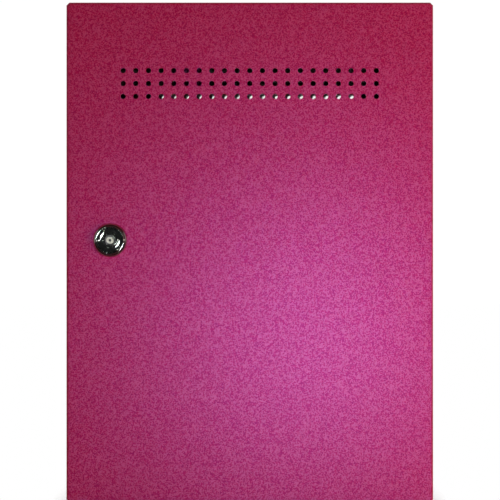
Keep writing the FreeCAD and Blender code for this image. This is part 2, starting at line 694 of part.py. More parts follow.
def cash_box_lid():
    """Lid that drops over the box, open under the chute."""
    t, skirt = 1.0, 12.0
    z1 = BOX_Z[1] + t
    x, y = (BOX_X[0] - t - 0.3, BOX_X[1] + t + 0.3), (BOX_Y[0] - t - 0.3, BOX_Y[1] + t + 0.3)
    lid = slab_z(x, y, (BOX_Z[1] - skirt, z1), 3.0)
    lid = lid.cut(box((x[0] + t, x[1] - t), (y[0] + t, y[1] - t), (BOX_Z[1] - skirt, BOX_Z[1])))
    mouth = chute_y()
    return lid.cut(box((CHUTE_X[0] + 2, CHUTE_X[1] - 2), (mouth[0] + 2, mouth[1] - 2),
                       (BOX_Z[1], z1)))


HANDLE_Z = BOX_Z[1] - 24.0
HANDLE_Y = BOX_Y[0] - 3.6
HANDLE_SPAN = 66.0
HANDLE_DROP = 30.0


def handle_ends():
    middle = (BOX_X[0] + BOX_X[1]) / 2
    return around(middle, HANDLE_SPAN)


def cash_box_handle():
    """Bent wire bail, hanging from its clips."""
    left, right = handle_ends()
    low = HANDLE_Z - HANDLE_DROP
    route = [(left - 6.0, HANDLE_Z), (left + 11.0, HANDLE_Z), (left + 11.0, low),
             (right - 11.0, low), (right - 11.0, HANDLE_Z), (right + 6.0, HANDLE_Z)]
    return cable([(x, HANDLE_Y, z) for x, z in route], 2.5, 6.0)


# ---------------------------------------------------------------- plinth sockets and buttons
SOCKET_Z = 84.0
SOCKET_DX = 19.0
SOCKET_BODY = (22.0, 30.0, 30.0)
SOCKET_BEZEL = (28.0, 36.0, 2.4)
USB_MOUTH = (13.2, 5.6)
USB_DZ = 7.0
BUTTON_DX = -19.0
BUTTON_THREAD = 7.9
BUTTON_CAP = 5.8
BUTTON_TRAVEL = 1.8


def usb_socket(x):
    """Twin USB-A panel socket: bezel outside the plinth, body inside."""
    cx = x + SOCKET_DX
    bezel = slab(around(cx, SOCKET_BEZEL[0]), (PLINTH_Y, PLINTH_Y + SOCKET_BEZEL[2]),
                 around(SOCKET_Z, SOCKET_BEZEL[1]), 4.0)
    bezel = bezel.makeFillet(0.8, edges_at_y(bezel, PLINTH_Y + SOCKET_BEZEL[2]))
    body = box(around(cx, SOCKET_BODY[0]), (PLINTH_Y - SOCKET_BODY[2], PLINTH_Y + 0.1),
               around(SOCKET_Z, SOCKET_BODY[1]))
    solid = fused(bezel, body)
    for dz in (-USB_DZ, USB_DZ):
        z = SOCKET_Z + dz
        mouth = box(around(cx, USB_MOUTH[0]), (PLINTH_Y - 12.0, PLINTH_Y + 5.0), around(z, USB_MOUTH[1]))
        tongue = box(around(cx, 11.0), (PLINTH_Y - 12.0, PLINTH_Y - 1.0), around(z + 1.0, 1.8))
        solid = solid.cut(mouth.cut(tongue))
    return solid


def button_housing(x):
    """Metal push-button housing: bezel outside, threaded barrel and nut inside."""
    cx = x + BUTTON_DX

    def ring(radius, y):
        return rod(radius, (cx, y[0], SOCKET_Z), (cx, y[1], SOCKET_Z))

    front = PLINTH_Y + 2.2
    bezel = ring(11.0, (PLINTH_Y, front))
    bezel = bezel.makeChamfer(0.8, [e for e in bezel.Edges if abs(e.BoundBox.YMin - front) < 1e-6])
    barrel = ring(BUTTON_THREAD, (PLINTH_Y - 24.0, PLINTH_Y + 0.1))
    nut = hexagon(20.0, (PLINTH_Y - SHEET - 3.5, PLINTH_Y - SHEET), cx, SOCKET_Z)
    bore = ring(BUTTON_CAP + 0.15, (PLINTH_Y - 8.0, PLINTH_Y + 3.0))
    return fused(bezel, barrel, nut).cut(bore)


def select_button(x):
    cx, front = x + BUTTON_DX, PLINTH_Y + BUTTON_PROUD
    cap = rod(BUTTON_CAP, (cx, PLINTH_Y - 5.0, SOCKET_Z), (cx, front, SOCKET_Z))
    rim = [e for e in cap.Edges if abs(e.BoundBox.YMin - front) < 1e-6]
    return cap.makeFillet(0.9, rim)


# ---------------------------------------------------------------- equipment behind the door
PLATE_X = (-140.0, 140.0)
HUB_X = (-75.0, 89.0)
HUB_Z = (Z_TOP - 113.0, Z_TOP - 71.0)
PLATE_Z = (Z0 + 95.0, HUB_Z[1] - 12.0)
HUB_DEEP = 28.0
SUPPLY_X = (-18.0, 111.0)
SUPPLY_Z = (Z0 + 180.0, Z0 + 277.0)
SUPPLY_DEEP = 30.0
BOARD_X = (-124.0, -64.0)
BOARD_Z = (Z0 + 177.0, Z0 + 277.0)
STANDOFF = 8.0
DUCT_X = (-56.0, -26.0)
DUCT_Z = (Z0 + 104.0, Z0 + 258.0)
DUCT_DEEP = 30.0
DUCT_SLOTS = 12
BOARD_SLOTS = (8, 9, 10)  # slots that the board's connectors stand level with
TERMINALS_X = (-6.0, 100.0)
TERMINALS_Z = (Z0 + 130.0, Z0 + 152.0)
PASS_HOLE = (sum(BOARD_X) / 2, BOARD_Z[1] + 18.0)


def board_corners():
    return [(x, z) for x in (BOARD_X[0] + 4, BOARD_X[1] - 4) for z in (BOARD_Z[0] + 4, BOARD_Z[1] - 4)]


def equipment_plate():
    """Galvanised plate that carries the electrics, with pressed standoffs for the board and a hole
    for the leads of the display and the coin selector. It ends below the vents."""
    plate = box(PLATE_X, (PLATE_Y, PLATE_Y + SHEET), PLATE_Z)
    posts = [rod(3.0, (x, PLATE_Y - STANDOFF, z), (x, PLATE_Y, z)) for x, z in board_corners()]
    x, z = PASS_HOLE
    return fused(plate, *posts).cut(rod(11.0, (x, PLATE_Y, z), (x, PLATE_Y + SHEET, z)))


def plate_bracket(side):
    """Angle welded to the case's side, behind the plate."""
    wall, near = side * (INNER - 0.2), side * (INNER - 18.0)
    y = PLATE_Y + SHEET
    z = (PLATE_Z[0] + 15, PLATE_Z[1] - 15)
    on_plate = box(sorted((near, wall)), (y, y + SHEET), z)
    on_wall = box(sorted((wall - side * SHEET, wall)), (y, y + 16.0), z)
    return fused(on_plate, on_wall)


def pan_screw(x, y, z):
    """Pan-head M4 screw, its head towards the door."""
    head = rod(4.0, (x, y - 2.6, z), (x, y, z))
    head = head.makeFillet(1.2, [e for e in head.Edges if abs(e.BoundBox.YMax - y + 2.6) < 1e-6])
    return head.cut(box(around(x, 5.0), (y - 3, y - 1.6), around(z, 1.0)))


def m4_screws():
    places = [(sx * 134.0, PLATE_Y, z) for sx in (-1, 1) for z in (PLATE_Z[0] + 24, PLATE_Z[1] - 24)]
    foot_x = HINGE_X - 22.5
    for z in HINGE_ZS.values():
        places += [(foot_x, FRAME_Y - HINGE_LEAF, z + dz) for dz in (-20.0, 20.0)]
    places += [(x, PLATE_Y - STANDOFF - 1.6, z) for x, z in board_corners()]
    return group(pan_screw(*p) for p in places)


def charging_hub():
    """Eight-way USB charger in a white moulded case, its sockets facing down."""
    body = box(HUB_X, (PLATE_Y - HUB_DEEP, PLATE_Y), HUB_Z)
    body = body.makeFillet(3.0, [e for e in body.Edges if min(v.Y for v in e.Vertexes) < PLATE_Y - 1])
    cuts = []
    for x, y in hub_port_places():
        cuts.append(box(around(x, 14.0), around(y, 7.0), (HUB_Z[0] - 1, HUB_Z[0] + 12.0)))
    return body.cut(group(cuts))


def hub_port_places():
    middle = (HUB_X[0] + HUB_X[1]) / 2
    return [(middle + dx, PLATE_Y - 14.0) for dx, _ in grid(8, 1, 19.0, 0)]


def hub_port(x, y):
    """Steel shell of one socket, with its tongue."""
    z = (HUB_Z[0] - 0.4, HUB_Z[0] + 11.8)
    shell = box(around(x, 13.8), around(y, 6.8), z)
    shell = shell.cut(box(around(x, 12.8), around(y, 5.8), (z[0] - 1, z[1] - 1)))
    return fused(shell, box(around(x, 11.0), around(y - 1.0, 1.8), (z[0] + 1, z[1])))


def power_supply():
    """Five-volt supply in a pierced steel case, open at the end with its terminals."""
    y = (PLATE_Y - SUPPLY_DEEP, PLATE_Y)
    case = box(SUPPLY_X, y, SUPPLY_Z)
    inside = box((SUPPLY_X[0] + 1.2, SUPPLY_X[1] - 1.2), (y[0] + 1.2, y[1] - 1.2),
                 (SUPPLY_Z[0] + 1.2, SUPPLY_Z[1] - 1.2))
    end = box((SUPPLY_X[0] - 1, SUPPLY_X[0] + 18.0), (y[0] - 1, y[1] - 12.0),
              (SUPPLY_Z[0] + 4.0, SUPPLY_Z[1] - 4.0))
    middle_x, middle_z = sum(SUPPLY_X) / 2 + 10, sum(SUPPLY_Z) / 2
    holes = []
    for dx, dz in grid(12, 9, 7.5, 8.5):
        x, z = middle_x + dx, middle_z + dz
        holes.append(rod(2.0, (x, y[0] - 1, z), (x, y[0] + 1.5, z)))
    return case.cut(inside).cut(end).cut(group(holes))


def supply_terminals():
    """Barrier strip across the supply's open end."""
    x = (SUPPLY_X[0] + 2.0, SUPPLY_X[0] + 16.0)
    z = (SUPPLY_Z[0] + 8.0, SUPPLY_Z[1] - 8.0)
    y = (PLATE_Y - 24.0, PLATE_Y - 1.2)
    strip = box(x, y, z)
    for i in range(9):
        strip = strip.cut(box((x[0] - 1, x[1] - 3), (y[0] - 1, y[0] + 6), around(supply_way_z(i), 7.0)))
    return strip


def supply_way_z(i):
    """Height of one of the supply's nine terminals."""
    return SUPPLY_Z[0] + 8.0 + (i + 0.5) * 9.0


def duct_slot_z(i):
    """Height of one of the trunking's slots."""
    return DUCT_Z[0] + (i + 0.5) * (DUCT_Z[1] - DUCT_Z[0]) / DUCT_SLOTS


def control_board():
    y = (PLATE_Y - STANDOFF - 1.6, PLATE_Y - STANDOFF)
    board = slab(BOARD_X, y, BOARD_Z, 2.0)
    return board.cut(group(rod(1.6, (x, y[0] - 1, z), (x, y[1], z)) for x, z in board_corners()))


def board_components():
    """What stands on the control board: relays, a processor, capacitors and connectors."""
    y = PLATE_Y - STANDOFF - 1.6
    left, right, low, high = *BOARD_X, *BOARD_Z
    relays = [box((left + 8, left + 23), (y - 15.0, y), around(low + 22 + 24 * i, 19.0)) for i in range(3)]
    processor = box((left + 31, left + 45), (y - 2.0, y), around(low + 50, 14.0))
    capacitors = [rod(5.0, (left + 40, y - 12.0, low + dz), (left + 40, y, low + dz)) for dz in (18.0, 32.0)]
    sockets = [box((right - 11, right - 2), (y - 8.0, y), around(duct_slot_z(i), 11.0)) for i in BOARD_SLOTS]
    header = box((left + 14, right - 14), (y - 9.0, y), (high - 12, high - 3))
    return group([*relays, processor, *capacitors, *sockets, header])


def wire_duct():
    """Slotted trunking, its open side towards the door and closed by its clip-on cover."""
    y = (PLATE_Y - DUCT_DEEP, PLATE_Y)
    duct = box(DUCT_X, y, DUCT_Z)
    duct = duct.cut(box((DUCT_X[0] + 1.5, DUCT_X[1] - 1.5), (y[0] - 1, y[1] - 1.5), DUCT_Z))
    slots = [box((DUCT_X[0] - 1, DUCT_X[1] + 1), (y[0] + 7, y[1] - 6), around(duct_slot_z(i), 5.0))
             for i in range(DUCT_SLOTS)]
    return duct.cut(group(slots))


def wire_duct_cover():
    y = PLATE_Y - DUCT_DEEP
    cap = box((DUCT_X[0] - 1.6, DUCT_X[1] + 1.6), (y - 1.8, y + 6.0), DUCT_Z)
    return cap.cut(box((DUCT_X[0] - 0.2, DUCT_X[1] + 0.2), (y, y + 7), (DUCT_Z[0] - 1, DUCT_Z[1] + 1)))


def terminal_block():
    """Ten-way screw terminal strip."""
    strip = box(TERMINALS_X, (PLATE_Y - 16.0, PLATE_Y), TERMINALS_Z)
    cuts = []
    for dx, dz in grid(10, 2, 10.0, 13.0):
        x, z = sum(TERMINALS_X) / 2 + dx, sum(TERMINALS_Z) / 2 + dz
        cuts.append(rod(3.2, (x, PLATE_Y - 17, z), (x, PLATE_Y - 9, z)))
    return strip.cut(group(cuts))


ROCKER_X = HALF - 3.5
ROCKER_Z = INLET_Z + 12.5


def mains_inlet():
    """Inlet with its fuse drawer and the well of the rocker switch, set in the case's side."""
    flange = box((HALF, HALF + SCREW_PROUD), around(INLET_Y, 31.0), around(INLET_Z, 54.0))
    rim = [e for e in flange.Edges if all(v.X > HALF + 1 for v in e.Vertexes)]
    flange = flange.makeChamfer(0.8, rim)
    body = box((INNER - 24.0, HALF + 0.5), around(INLET_Y, 27.0), around(INLET_Z, 47.0))
    well = box((INNER - 14.0, HALF + 3.0), around(INLET_Y, 20.0), (INLET_Z - 20.0, INLET_Z + 1.0))
    pins = [box((INNER - 14.0, HALF - 1.0), around(INLET_Y + dy, 2.0), around(INLET_Z - 10.0 + dz, 4.0))
            for dy, dz in ((-6.0, -3.0), (0.0, 3.0), (6.0, -3.0))]
    rocker_well = box((HALF - 9.0, HALF + 3.0), around(INLET_Y, 20.0), around(ROCKER_Z, 15.6))
    sockets = rod(1.25, (ROCKER_X, INLET_Y - 11.2, ROCKER_Z), (ROCKER_X, INLET_Y + 11.2, ROCKER_Z))
    return fused(flange, body).cut(well.cut(group(pins))).cut(rocker_well).cut(sockets)


def inlet_rocker():
    """Rocker of the mains switch: a tapered body under a cap bent like a shallow roof."""
    half_z, ridge, eave, base = 6.6, HALF + 1.8, HALF - 0.2, HALF - 5.0
    corners = [(base, -3.0), (eave - 1.2, -half_z), (eave, -half_z), (ridge - 1.2, 0.0),
               (ridge, half_z - 0.6), (eave - 1.2, half_z), (base, 3.0)]
    ring = [V(x, INLET_Y - 9.4, ROCKER_Z + dz) for x, dz in corners]
    cap = Part.Face(Part.makePolygon(ring + ring[:1])).extrude(V(0, 18.8, 0))
    return fused(cap, rod(1.2, (ROCKER_X, INLET_Y - 11.0, ROCKER_Z), (ROCKER_X, INLET_Y + 11.0, ROCKER_Z)))


def fan_housing():
    """Square fan frame on the case's right side, with four spokes that carry the motor."""
    x = (INNER - FAN_DEEP, INNER)
    frame = box(x, around(FAN_Y, FAN_SIZE), around(FAN_Z, FAN_SIZE))
    frame = frame.makeFillet(4.0, edges_along(frame, V(1, 0, 0)))
    frame = frame.cut(rod(FAN_SIZE / 2 - 2.0, (x[0], FAN_Y, FAN_Z), (x[1], FAN_Y, FAN_Z)))
    motor = rod(15.0, (x[0], FAN_Y, FAN_Z), (x[0] + 3.0, FAN_Y, FAN_Z))
    spoke_y = box((x[0], x[0] + 3.0), around(FAN_Y, FAN_SIZE - 2), around(FAN_Z, 4.0))
    spoke_z = box((x[0], x[0] + 3.0), around(FAN_Y, 4.0), around(FAN_Z, FAN_SIZE - 2))
    shaft = rod(1.5, (x[0] + 2.0, FAN_Y, FAN_Z), (x[0] + 20.0, FAN_Y, FAN_Z))
    return fused(frame, motor, spoke_y, spoke_z, shaft)


def fan_rotor():
    """Hub and seven pitched blades, turning on the shaft."""
    x = (INNER - FAN_DEEP + 4.0, INNER - 3.0)
    hub = rod(15.5, (x[0], FAN_Y, FAN_Z), (x[1], FAN_Y, FAN_Z))
    blades = []
    for i in range(7):
        blade = box((x[0] + 1, x[1] - 1), (13.0, FAN_SIZE / 2 - 4.0), (-0.8, 0.8))
        blade.rotate(V(sum(x) / 2, 0, 0), V(0, 1, 0), 38.0)
        blade = blade.common(box((x[0], x[1]), (0, FAN_SIZE), (-FAN_SIZE, FAN_SIZE)))
        blade = blade.translated(V(0, FAN_Y, FAN_Z))
        blade.rotate(V(0, FAN_Y, FAN_Z), V(1, 0, 0), 360.0 / 7 * i)
        blades.append(blade)
    rotor = fused(hub, *blades)
    tube = rod(FAN_SIZE / 2 - 3.0, (x[0], FAN_Y, FAN_Z), (x[1], FAN_Y, FAN_Z))
    return rotor.common(tube).cut(rod(1.55, (x[0] - 1, FAN_Y, FAN_Z), (x[0] + 16.5, FAN_Y, FAN_Z)))


def cam_strike_plate():
    """Zinc wear plate behind the frame, where the cam bears when locked."""
    y = FRAME_Y + SHEET
    return box((-INNER, -HALF + FRAME_LEFT - 0.5), (y, y + 0.8), around(LOCK_Z, 44.0))


# ---------------------------------------------------------------- the wiring
UNDER_PLATE_Z = PLATE_Z[0] - 7.0  # where leads pass below the equipment plate


def mains_leads():
    """Sheathed leads from the inlet to the terminal strip, and from there to the power supply."""
    inlet = cable([
        (INNER - 24.0, INLET_Y, INLET_Z),
        (INNER - 48.0, INLET_Y, INLET_Z),
        (INNER - 56.0, INLET_Y, INLET_Z + 30.0),
        (TERMINALS_X[1] - 14.0, PLATE_Y - 8.0, TERMINALS_Z[0] - 30.0),
        (TERMINALS_X[1] - 14.0, PLATE_Y - 8.0, TERMINALS_Z[0]),
    ], 3.5)
    first = TERMINALS_X[0] + 12.0
    beside, y = SUPPLY_X[0] - 3.5, PLATE_Y - 21.0
    supply = cable([
        (first, PLATE_Y - 12.5, TERMINALS_Z[1]),
        (first, PLATE_Y - 12.5, TERMINALS_Z[1] + 7.0),
        (beside, y, TERMINALS_Z[1] + 17.0),
        (beside, y, supply_way_z(0)),
        (SUPPLY_X[0] + 13.0, y, supply_way_z(0)),
    ], 2.0)
    return group([inlet, supply])


def low_voltage_leads():
    """Leads into the trunking, and those of the display and of the coin selector to the board."""
    runs = []
    right, left = DUCT_X[1] - 4.0, DUCT_X[0] + 4.0
    y = PLATE_Y - 21.0
    front_y = PLATE_Y - 14.0
    for way, slot in ((1, 7), (2, 8), (4, 9), (5, 10)):
        z0, z1, x = supply_way_z(way), duct_slot_z(slot), SUPPLY_X[0] + 13.0
        runs.append(cable([(x, y, z0), (SUPPLY_X[0], y, z0), (DUCT_X[1] + 1, y, z1), (right, y, z1)], 1.4))
    for slot in BOARD_SLOTS:
        z = duct_slot_z(slot)
        runs.append(cable([(BOARD_X[1] - 2, PLATE_Y - 13.6, z), (left, PLATE_Y - 13.6, z)], 1.4))
    z = duct_slot_z(3)
    runs.append(cable([(TERMINALS_X[0], PLATE_Y - 11.0, z), (right, PLATE_Y - 11.0, z)], 1.4))
    hub_x, hub_y = HUB_X[0] + 4.5, PLATE_Y - 22.0
    runs.append(cable([
        (hub_x, hub_y, HUB_Z[0]),
        (hub_x, hub_y, HUB_Z[0] - 11.0),
        (left + 1.0, hub_y, DUCT_Z[1] + 6.0),
        (left + 1.0, hub_y, DUCT_Z[1] - 12.0),
    ], 1.9))
    corner = FAN_SIZE / 2 - 4.0
    fan_y, lane = FAN_Y - corner, right - 1.0
    runs.append(cable([
        (INNER - FAN_DEEP, fan_y, FAN_Z - corner),
        (INNER - FAN_DEEP - 12.0, fan_y, FAN_Z - corner),
        (INNER - FAN_DEEP - 35.0, fan_y - 4.0, UNDER_PLATE_Z),
        (lane, fan_y - 4.0, UNDER_PLATE_Z),
        (lane, front_y, UNDER_PLATE_Z),
        (lane, front_y, DUCT_Z[0] + 12.0),
    ], 1.4, 16.0))

    pass_x, pass_z = PASS_HOLE
    behind_y = PLATE_Y + 10.0
    from_display = (DISPLAY_X, -16.0, pass_x + 4.5, [(20.0, behind_y, 330.0), (-70.0, behind_y, 316.0)])
    from_selector = (COIN_X, -COIN_DEEP, pass_x - 4.5, [])
    for x, n, through_x, way in (from_display, from_selector):
        runs.append(cable([
            tuple(SLOPE.multVec(V(x, n, DISPLAY_V))),
            tuple(SLOPE.multVec(V(x, n - 9.0, DISPLAY_V))),
            *way,
            (through_x, behind_y, pass_z),
            (through_x, front_y, pass_z),
            (through_x, front_y, BOARD_Z[1] - 3.0),
        ], 2.2, 12.0))
    return group(runs)


def bay_leads():
    """A lead to each bay: its plug in the hub, down the trunking, and forward to the bay's socket."""
    y = PLATE_Y - 14.0
    solids = []
    lanes = ((-46.0, 40.0, BAYS["right"]), (-41.0, 40.0, BAYS["centre"]), (-36.0, 30.0, BAYS["left"]))
    for (x, _), (lane, turn_y, bay) in zip(hub_port_places(), lanes):
        socket = bay + SOCKET_DX
        lead = cable([
            (x, y, HUB_Z[0] - 11.0),
            (x, y, HUB_Z[0] - 17.0),
            (lane, y, DUCT_Z[1] + 5.0),
            (lane, y, UNDER_PLATE_Z),
            (lane, turn_y, UNDER_PLATE_Z),
            (socket, turn_y, UNDER_PLATE_Z),
            (socket, PLINTH_Y - SOCKET_BODY[2] - 9.0, SOCKET_Z),
            (socket, PLINTH_Y - SOCKET_BODY[2], SOCKET_Z),
        ], 1.9, 14.0)
        plug = box(around(x, 12.4), around(y, 7.4), (HUB_Z[0] - 12.0, HUB_Z[0] - 0.7))
        solids.append(fused(plug, lead))
    return group(solids)


# ---------------------------------------------------------------- everything, node by node
def build():
    piece("service_door", service_door())
    piece("door_stiffeners", group(door_stiffener(s * STIFFENER_X) for s in (-1, 1)))
    piece("door_buffers", door_buffers())
    for name, z in HINGE_ZS.items():
        piece(name + "_hinge_frame_leaf", hinge_frame_leaf(z))
        piece(name + "_hinge_door_leaf", hinge_door_leaf(z))
        piece(name + "_hinge_pin", hinge_pin(z))
    piece("lock_housing", lock_housing())
    piece("lock_cylinder", lock_cylinder())
    piece("lock_nut", lock_nut())
    piece("lock_cam", lock_cam())
    piece("cam_screw", cam_screw())
    piece("cam_strike_plate", cam_strike_plate())
    piece("case_wrap", case_wrap())
    piece("base_tray", base_tray())
    piece("fascia", fascia())
    piece("rubber_feet", group(rubber_foot(x, y) for x, y in foot_places()))
    piece("foot_screws", group(foot_screw(x, y) for x, y in foot_places()))
    piece("case_screws", group(case_screw(s, y, SIDE_SCREW_Z) for s in (-1, 1) for y in SIDE_SCREW_YS))
    piece("ledge_mat", ledge_mat())
    piece("phone_rest_strips", phone_rest_strips())
    piece("display_bezel", display_bezel())
    piece("display_glass", display_glass())
    piece("display_module", display_module())
    piece("coin_faceplate", coin_faceplate())
    piece("coin_mechanism", coin_mechanism())
    piece("coin_return_button", coin_return_button())
    piece("coin_return_flap", coin_return_flap())
    piece("coin_chute", coin_chute())
    piece("cash_box", cash_box())
    piece("cash_box_lid", cash_box_lid())
    piece("cash_box_handle", cash_box_handle())
    for name, x in BAYS.items():
        piece("usb_socket_" + name, usb_socket(x))
        piece("select_button_" + name, select_button(x))
    piece("button_housings", group(button_housing(x) for x in BAYS.values()))
    piece("equipment_plate", equipment_plate())
    piece("plate_brackets", group(plate_bracket(s) for s in (-1, 1)))
    piece("m4_screws", m4_screws())
    piece("charging_hub", charging_hub())
    piece("hub_ports", group(hub_port(x, y) for x, y in hub_port_places()))
    piece("power_supply", power_supply())
    piece("supply_terminals", supply_terminals())
    piece("control_board", control_board())
    piece("board_components", board_components())
    piece("wire_duct", wire_duct())
    piece("wire_duct_cover", wire_duct_cover())
    piece("terminal_block", terminal_block())
    piece("mains_inlet", mains_inlet())
    piece("inlet_rocker", inlet_rocker())
    piece("fan_housing", fan_housing())
    piece("fan_rotor", fan_rotor())
    piece("mains_leads", mains_leads())
    piece("low_voltage_leads", low_voltage_leads())
    piece("bay_leads", bay_leads())


build()
os.makedirs("parts", exist_ok=True)
for node, shape in PARTS.items():
    shape.exportStep(os.path.join("parts", node + ".step"))
print(len(PARTS), "nodes")
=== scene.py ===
"""Phone charging kiosk: materials, light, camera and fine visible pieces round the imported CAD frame.

Everything is in metres in the row frame: X to the right when facing the service door, Y from the
door to the customer side, Z up. Positions come from the boxes of the CAD nodes. Each fine piece is
drawn in a local frame, U to the right, V up and N towards whoever faces it, and rides on a body.
"""

import json
import math
import random

import bmesh
import bpy
from mathutils import Matrix, Vector

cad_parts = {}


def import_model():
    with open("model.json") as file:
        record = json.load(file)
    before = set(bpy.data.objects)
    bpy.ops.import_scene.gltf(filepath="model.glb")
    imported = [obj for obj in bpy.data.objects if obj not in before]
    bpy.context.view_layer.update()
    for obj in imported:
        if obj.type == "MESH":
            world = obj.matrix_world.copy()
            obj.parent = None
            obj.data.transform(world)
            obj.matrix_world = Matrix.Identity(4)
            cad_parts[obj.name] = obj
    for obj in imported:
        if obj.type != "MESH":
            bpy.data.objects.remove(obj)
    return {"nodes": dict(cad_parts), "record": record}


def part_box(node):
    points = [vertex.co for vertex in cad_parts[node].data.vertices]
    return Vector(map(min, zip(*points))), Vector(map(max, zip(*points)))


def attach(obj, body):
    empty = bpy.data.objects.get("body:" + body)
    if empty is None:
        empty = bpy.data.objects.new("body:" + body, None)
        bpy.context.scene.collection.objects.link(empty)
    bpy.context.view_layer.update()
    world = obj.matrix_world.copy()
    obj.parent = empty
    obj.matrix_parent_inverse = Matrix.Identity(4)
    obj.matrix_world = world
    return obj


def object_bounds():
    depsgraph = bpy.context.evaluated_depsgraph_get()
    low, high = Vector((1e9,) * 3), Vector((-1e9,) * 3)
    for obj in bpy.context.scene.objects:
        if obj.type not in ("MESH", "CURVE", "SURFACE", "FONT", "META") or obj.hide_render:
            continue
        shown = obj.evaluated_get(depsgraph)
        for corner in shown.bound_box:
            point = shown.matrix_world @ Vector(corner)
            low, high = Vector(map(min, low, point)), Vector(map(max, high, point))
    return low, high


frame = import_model()
cad_low, cad_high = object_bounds()
NODES = frame["nodes"]
MM = 0.001


# ---------------------------------------------------------------- material helpers
class Graph:
    """A material with one Principled shader, and short calls that add nodes in front of it.

    Texture scales are waves or cells per metre, and depths of bumps are metres.
    """

    def __init__(self, name, **sockets):
        self.material = bpy.data.materials.new(name)
        self.material.use_nodes = True
        self.tree = self.material.node_tree
        self.shader = self.tree.nodes["Principled BSDF"]
        for socket, value in sockets.items():
            self.shader.inputs[socket.replace("_", " ")].default_value = value
        self.place = self.node("ShaderNodeTexCoord").outputs["Object"]

    def node(self, kind, values=None, **props):
        made = self.tree.nodes.new(kind)
        for key, value in props.items():
            setattr(made, key, value)
        for key, value in (values or {}).items():
            if isinstance(value, bpy.types.NodeSocket):
                self.tree.links.new(value, made.inputs[key])
            else:
                made.inputs[key].default_value = value
        return made

    def out(self, socket, value):
        self.tree.links.new(value, self.shader.inputs[socket])

    def mapped(self, **values):
        """Object coordinates, stretched by Scale or turned by Rotation."""
        return self.node("ShaderNodeMapping", {"Vector": self.place, **values}).outputs[0]

    def noise(self, scale, detail=3.0, roughness=0.5, vector=None):
        return self.node("ShaderNodeTexNoise", {
            "Vector": vector or self.place, "Scale": scale, "Detail": detail,
            "Roughness": roughness}).outputs["Fac"]

    def cells(self, scale):
        """One random colour per cell: three values that are even from 0 to 1."""
        return self.node("ShaderNodeTexVoronoi", {"Vector": self.place, "Scale": scale}).outputs["Color"]

    def channel(self, colour, index):
        return self.node("ShaderNodeSeparateColor", {"Color": colour}).outputs[index]

    def span(self, value, low, high, to_low=0.0, to_high=1.0):
        return self.node("ShaderNodeMapRange", {
            "Value": value, "From Min": low, "From Max": high,
            "To Min": to_low, "To Max": to_high}).outputs[0]

    def maths(self, operation, a, b):
        return self.node("ShaderNodeMath", {0: a, 1: b}, operation=operation).outputs[0]

    def vector(self, operation, a, b=(0, 0, 0)):
        second = "Scale" if operation == "SCALE" else 1
        made = self.node("ShaderNodeVectorMath", {0: a, second: b}, operation=operation)
        return made.outputs["Value" if operation == "LENGTH" else "Vector"]

    def mix(self, share, a, b):
        return self.node("ShaderNodeMix", {"Factor": share, 6: a, 7: b}, data_type="RGBA").outputs[2]

    def bump(self, height, depth, strength=1.0):
        return self.node("ShaderNodeBump", {
            "Height": height, "Distance": depth, "Strength": strength}).outputs[0]


def grey(level):
    return (level, level, level, 1.0)


# ---------------------------------------------------------------- materials
def powder_coat():
    """Crimson powder coat under a magenta sheen, with metal flakes that each shine in their own way."""
    deep, full = (0.115, 0.0004, 0.0015, 1), (0.165, 0.0008, 0.0025, 1)
    metal = (0.26, 0.025, 0.075, 1)
    g = Graph("powder_coat", Specular_IOR_Level=1.0, Specular_Tint=(0.57, 0.08, 0.72, 1.0),
              Coat_Roughness=0.33)
    flake = g.cells(1150.0)
    shine = g.channel(flake, 1)
    tone = g.mix(g.span(g.noise(520.0, 3.0, 0.8), 0.38, 0.62), deep, full)
    g.out("Base Color", g.mix(g.span(shine, 0.25, 0.75, 0.0, 0.40), tone, metal))
    g.out("Roughness", g.span(g.channel(flake, 2), 0.0, 1.0, 0.31, 0.36))
    g.out("Coat Weight", g.span(shine, 0.25, 0.75, 0.0, 0.54))
    tilt = g.vector("SCALE", g.vector("SUBTRACT", flake, (0.5, 0.5, 0.5)), 0.05)
    face = g.bump(g.noise(420.0, 2.0, 0.55), 0.00005, 0.4)
    g.out("Normal", g.vector("NORMALIZE", g.vector("ADD", face, tilt)))
    return g.material


def spangled_zinc():
    """Dull zinc: spangles of different tone, with a chalky bloom over them."""
    dark, pale, chalk = (0.40, 0.42, 0.44, 1), (0.56, 0.57, 0.58, 1), (0.62, 0.63, 0.63, 1)
    g = Graph("galvanised_steel")
    spangle = g.channel(g.cells(130.0), 0)
    bloom = g.span(g.noise(28.0, 4.0, 0.6), 0.35, 0.65)
    g.out("Base Color", g.mix(g.maths("MULTIPLY", bloom, 0.35), g.mix(spangle, dark, pale), chalk))
    g.out("Metallic", g.span(bloom, 0.0, 1.0, 0.62, 0.45))
    g.out("Roughness", g.span(spangle, 0.0, 1.0, 0.34, 0.52))
    g.out("Normal", g.bump(g.noise(900.0), 0.00004, 0.5))
    return g.material


def plated_steel():
    """Clear zinc plating with cloudy patches."""
    g = Graph("zinc_plated_steel", Metallic=0.6)
    patch = g.noise(60.0, 4.0, 0.6)
    g.out("Base Color", g.mix(patch, (0.60, 0.60, 0.56, 1), (0.72, 0.72, 0.74, 1)))
    g.out("Roughness", g.span(g.noise(700.0, 3.0), 0.3, 0.7, 0.24, 0.40))
    g.out("Normal", g.bump(g.noise(1200.0), 0.00002, 0.4))
    return g.material


def plating(name, dark, pale, smooth, rough, metallic=1.0):
    """Bright plating with faint wear."""
    g = Graph(name, Metallic=metallic)
    wear = g.noise(420.0, 4.0, 0.65)
    g.out("Base Color", g.mix(wear, dark, pale))
    g.out("Roughness", g.span(wear, 0.35, 0.7, smooth, rough))
    g.out("Normal", g.bump(g.noise(300.0, 2.0), 0.00002, 0.2))
    return g.material


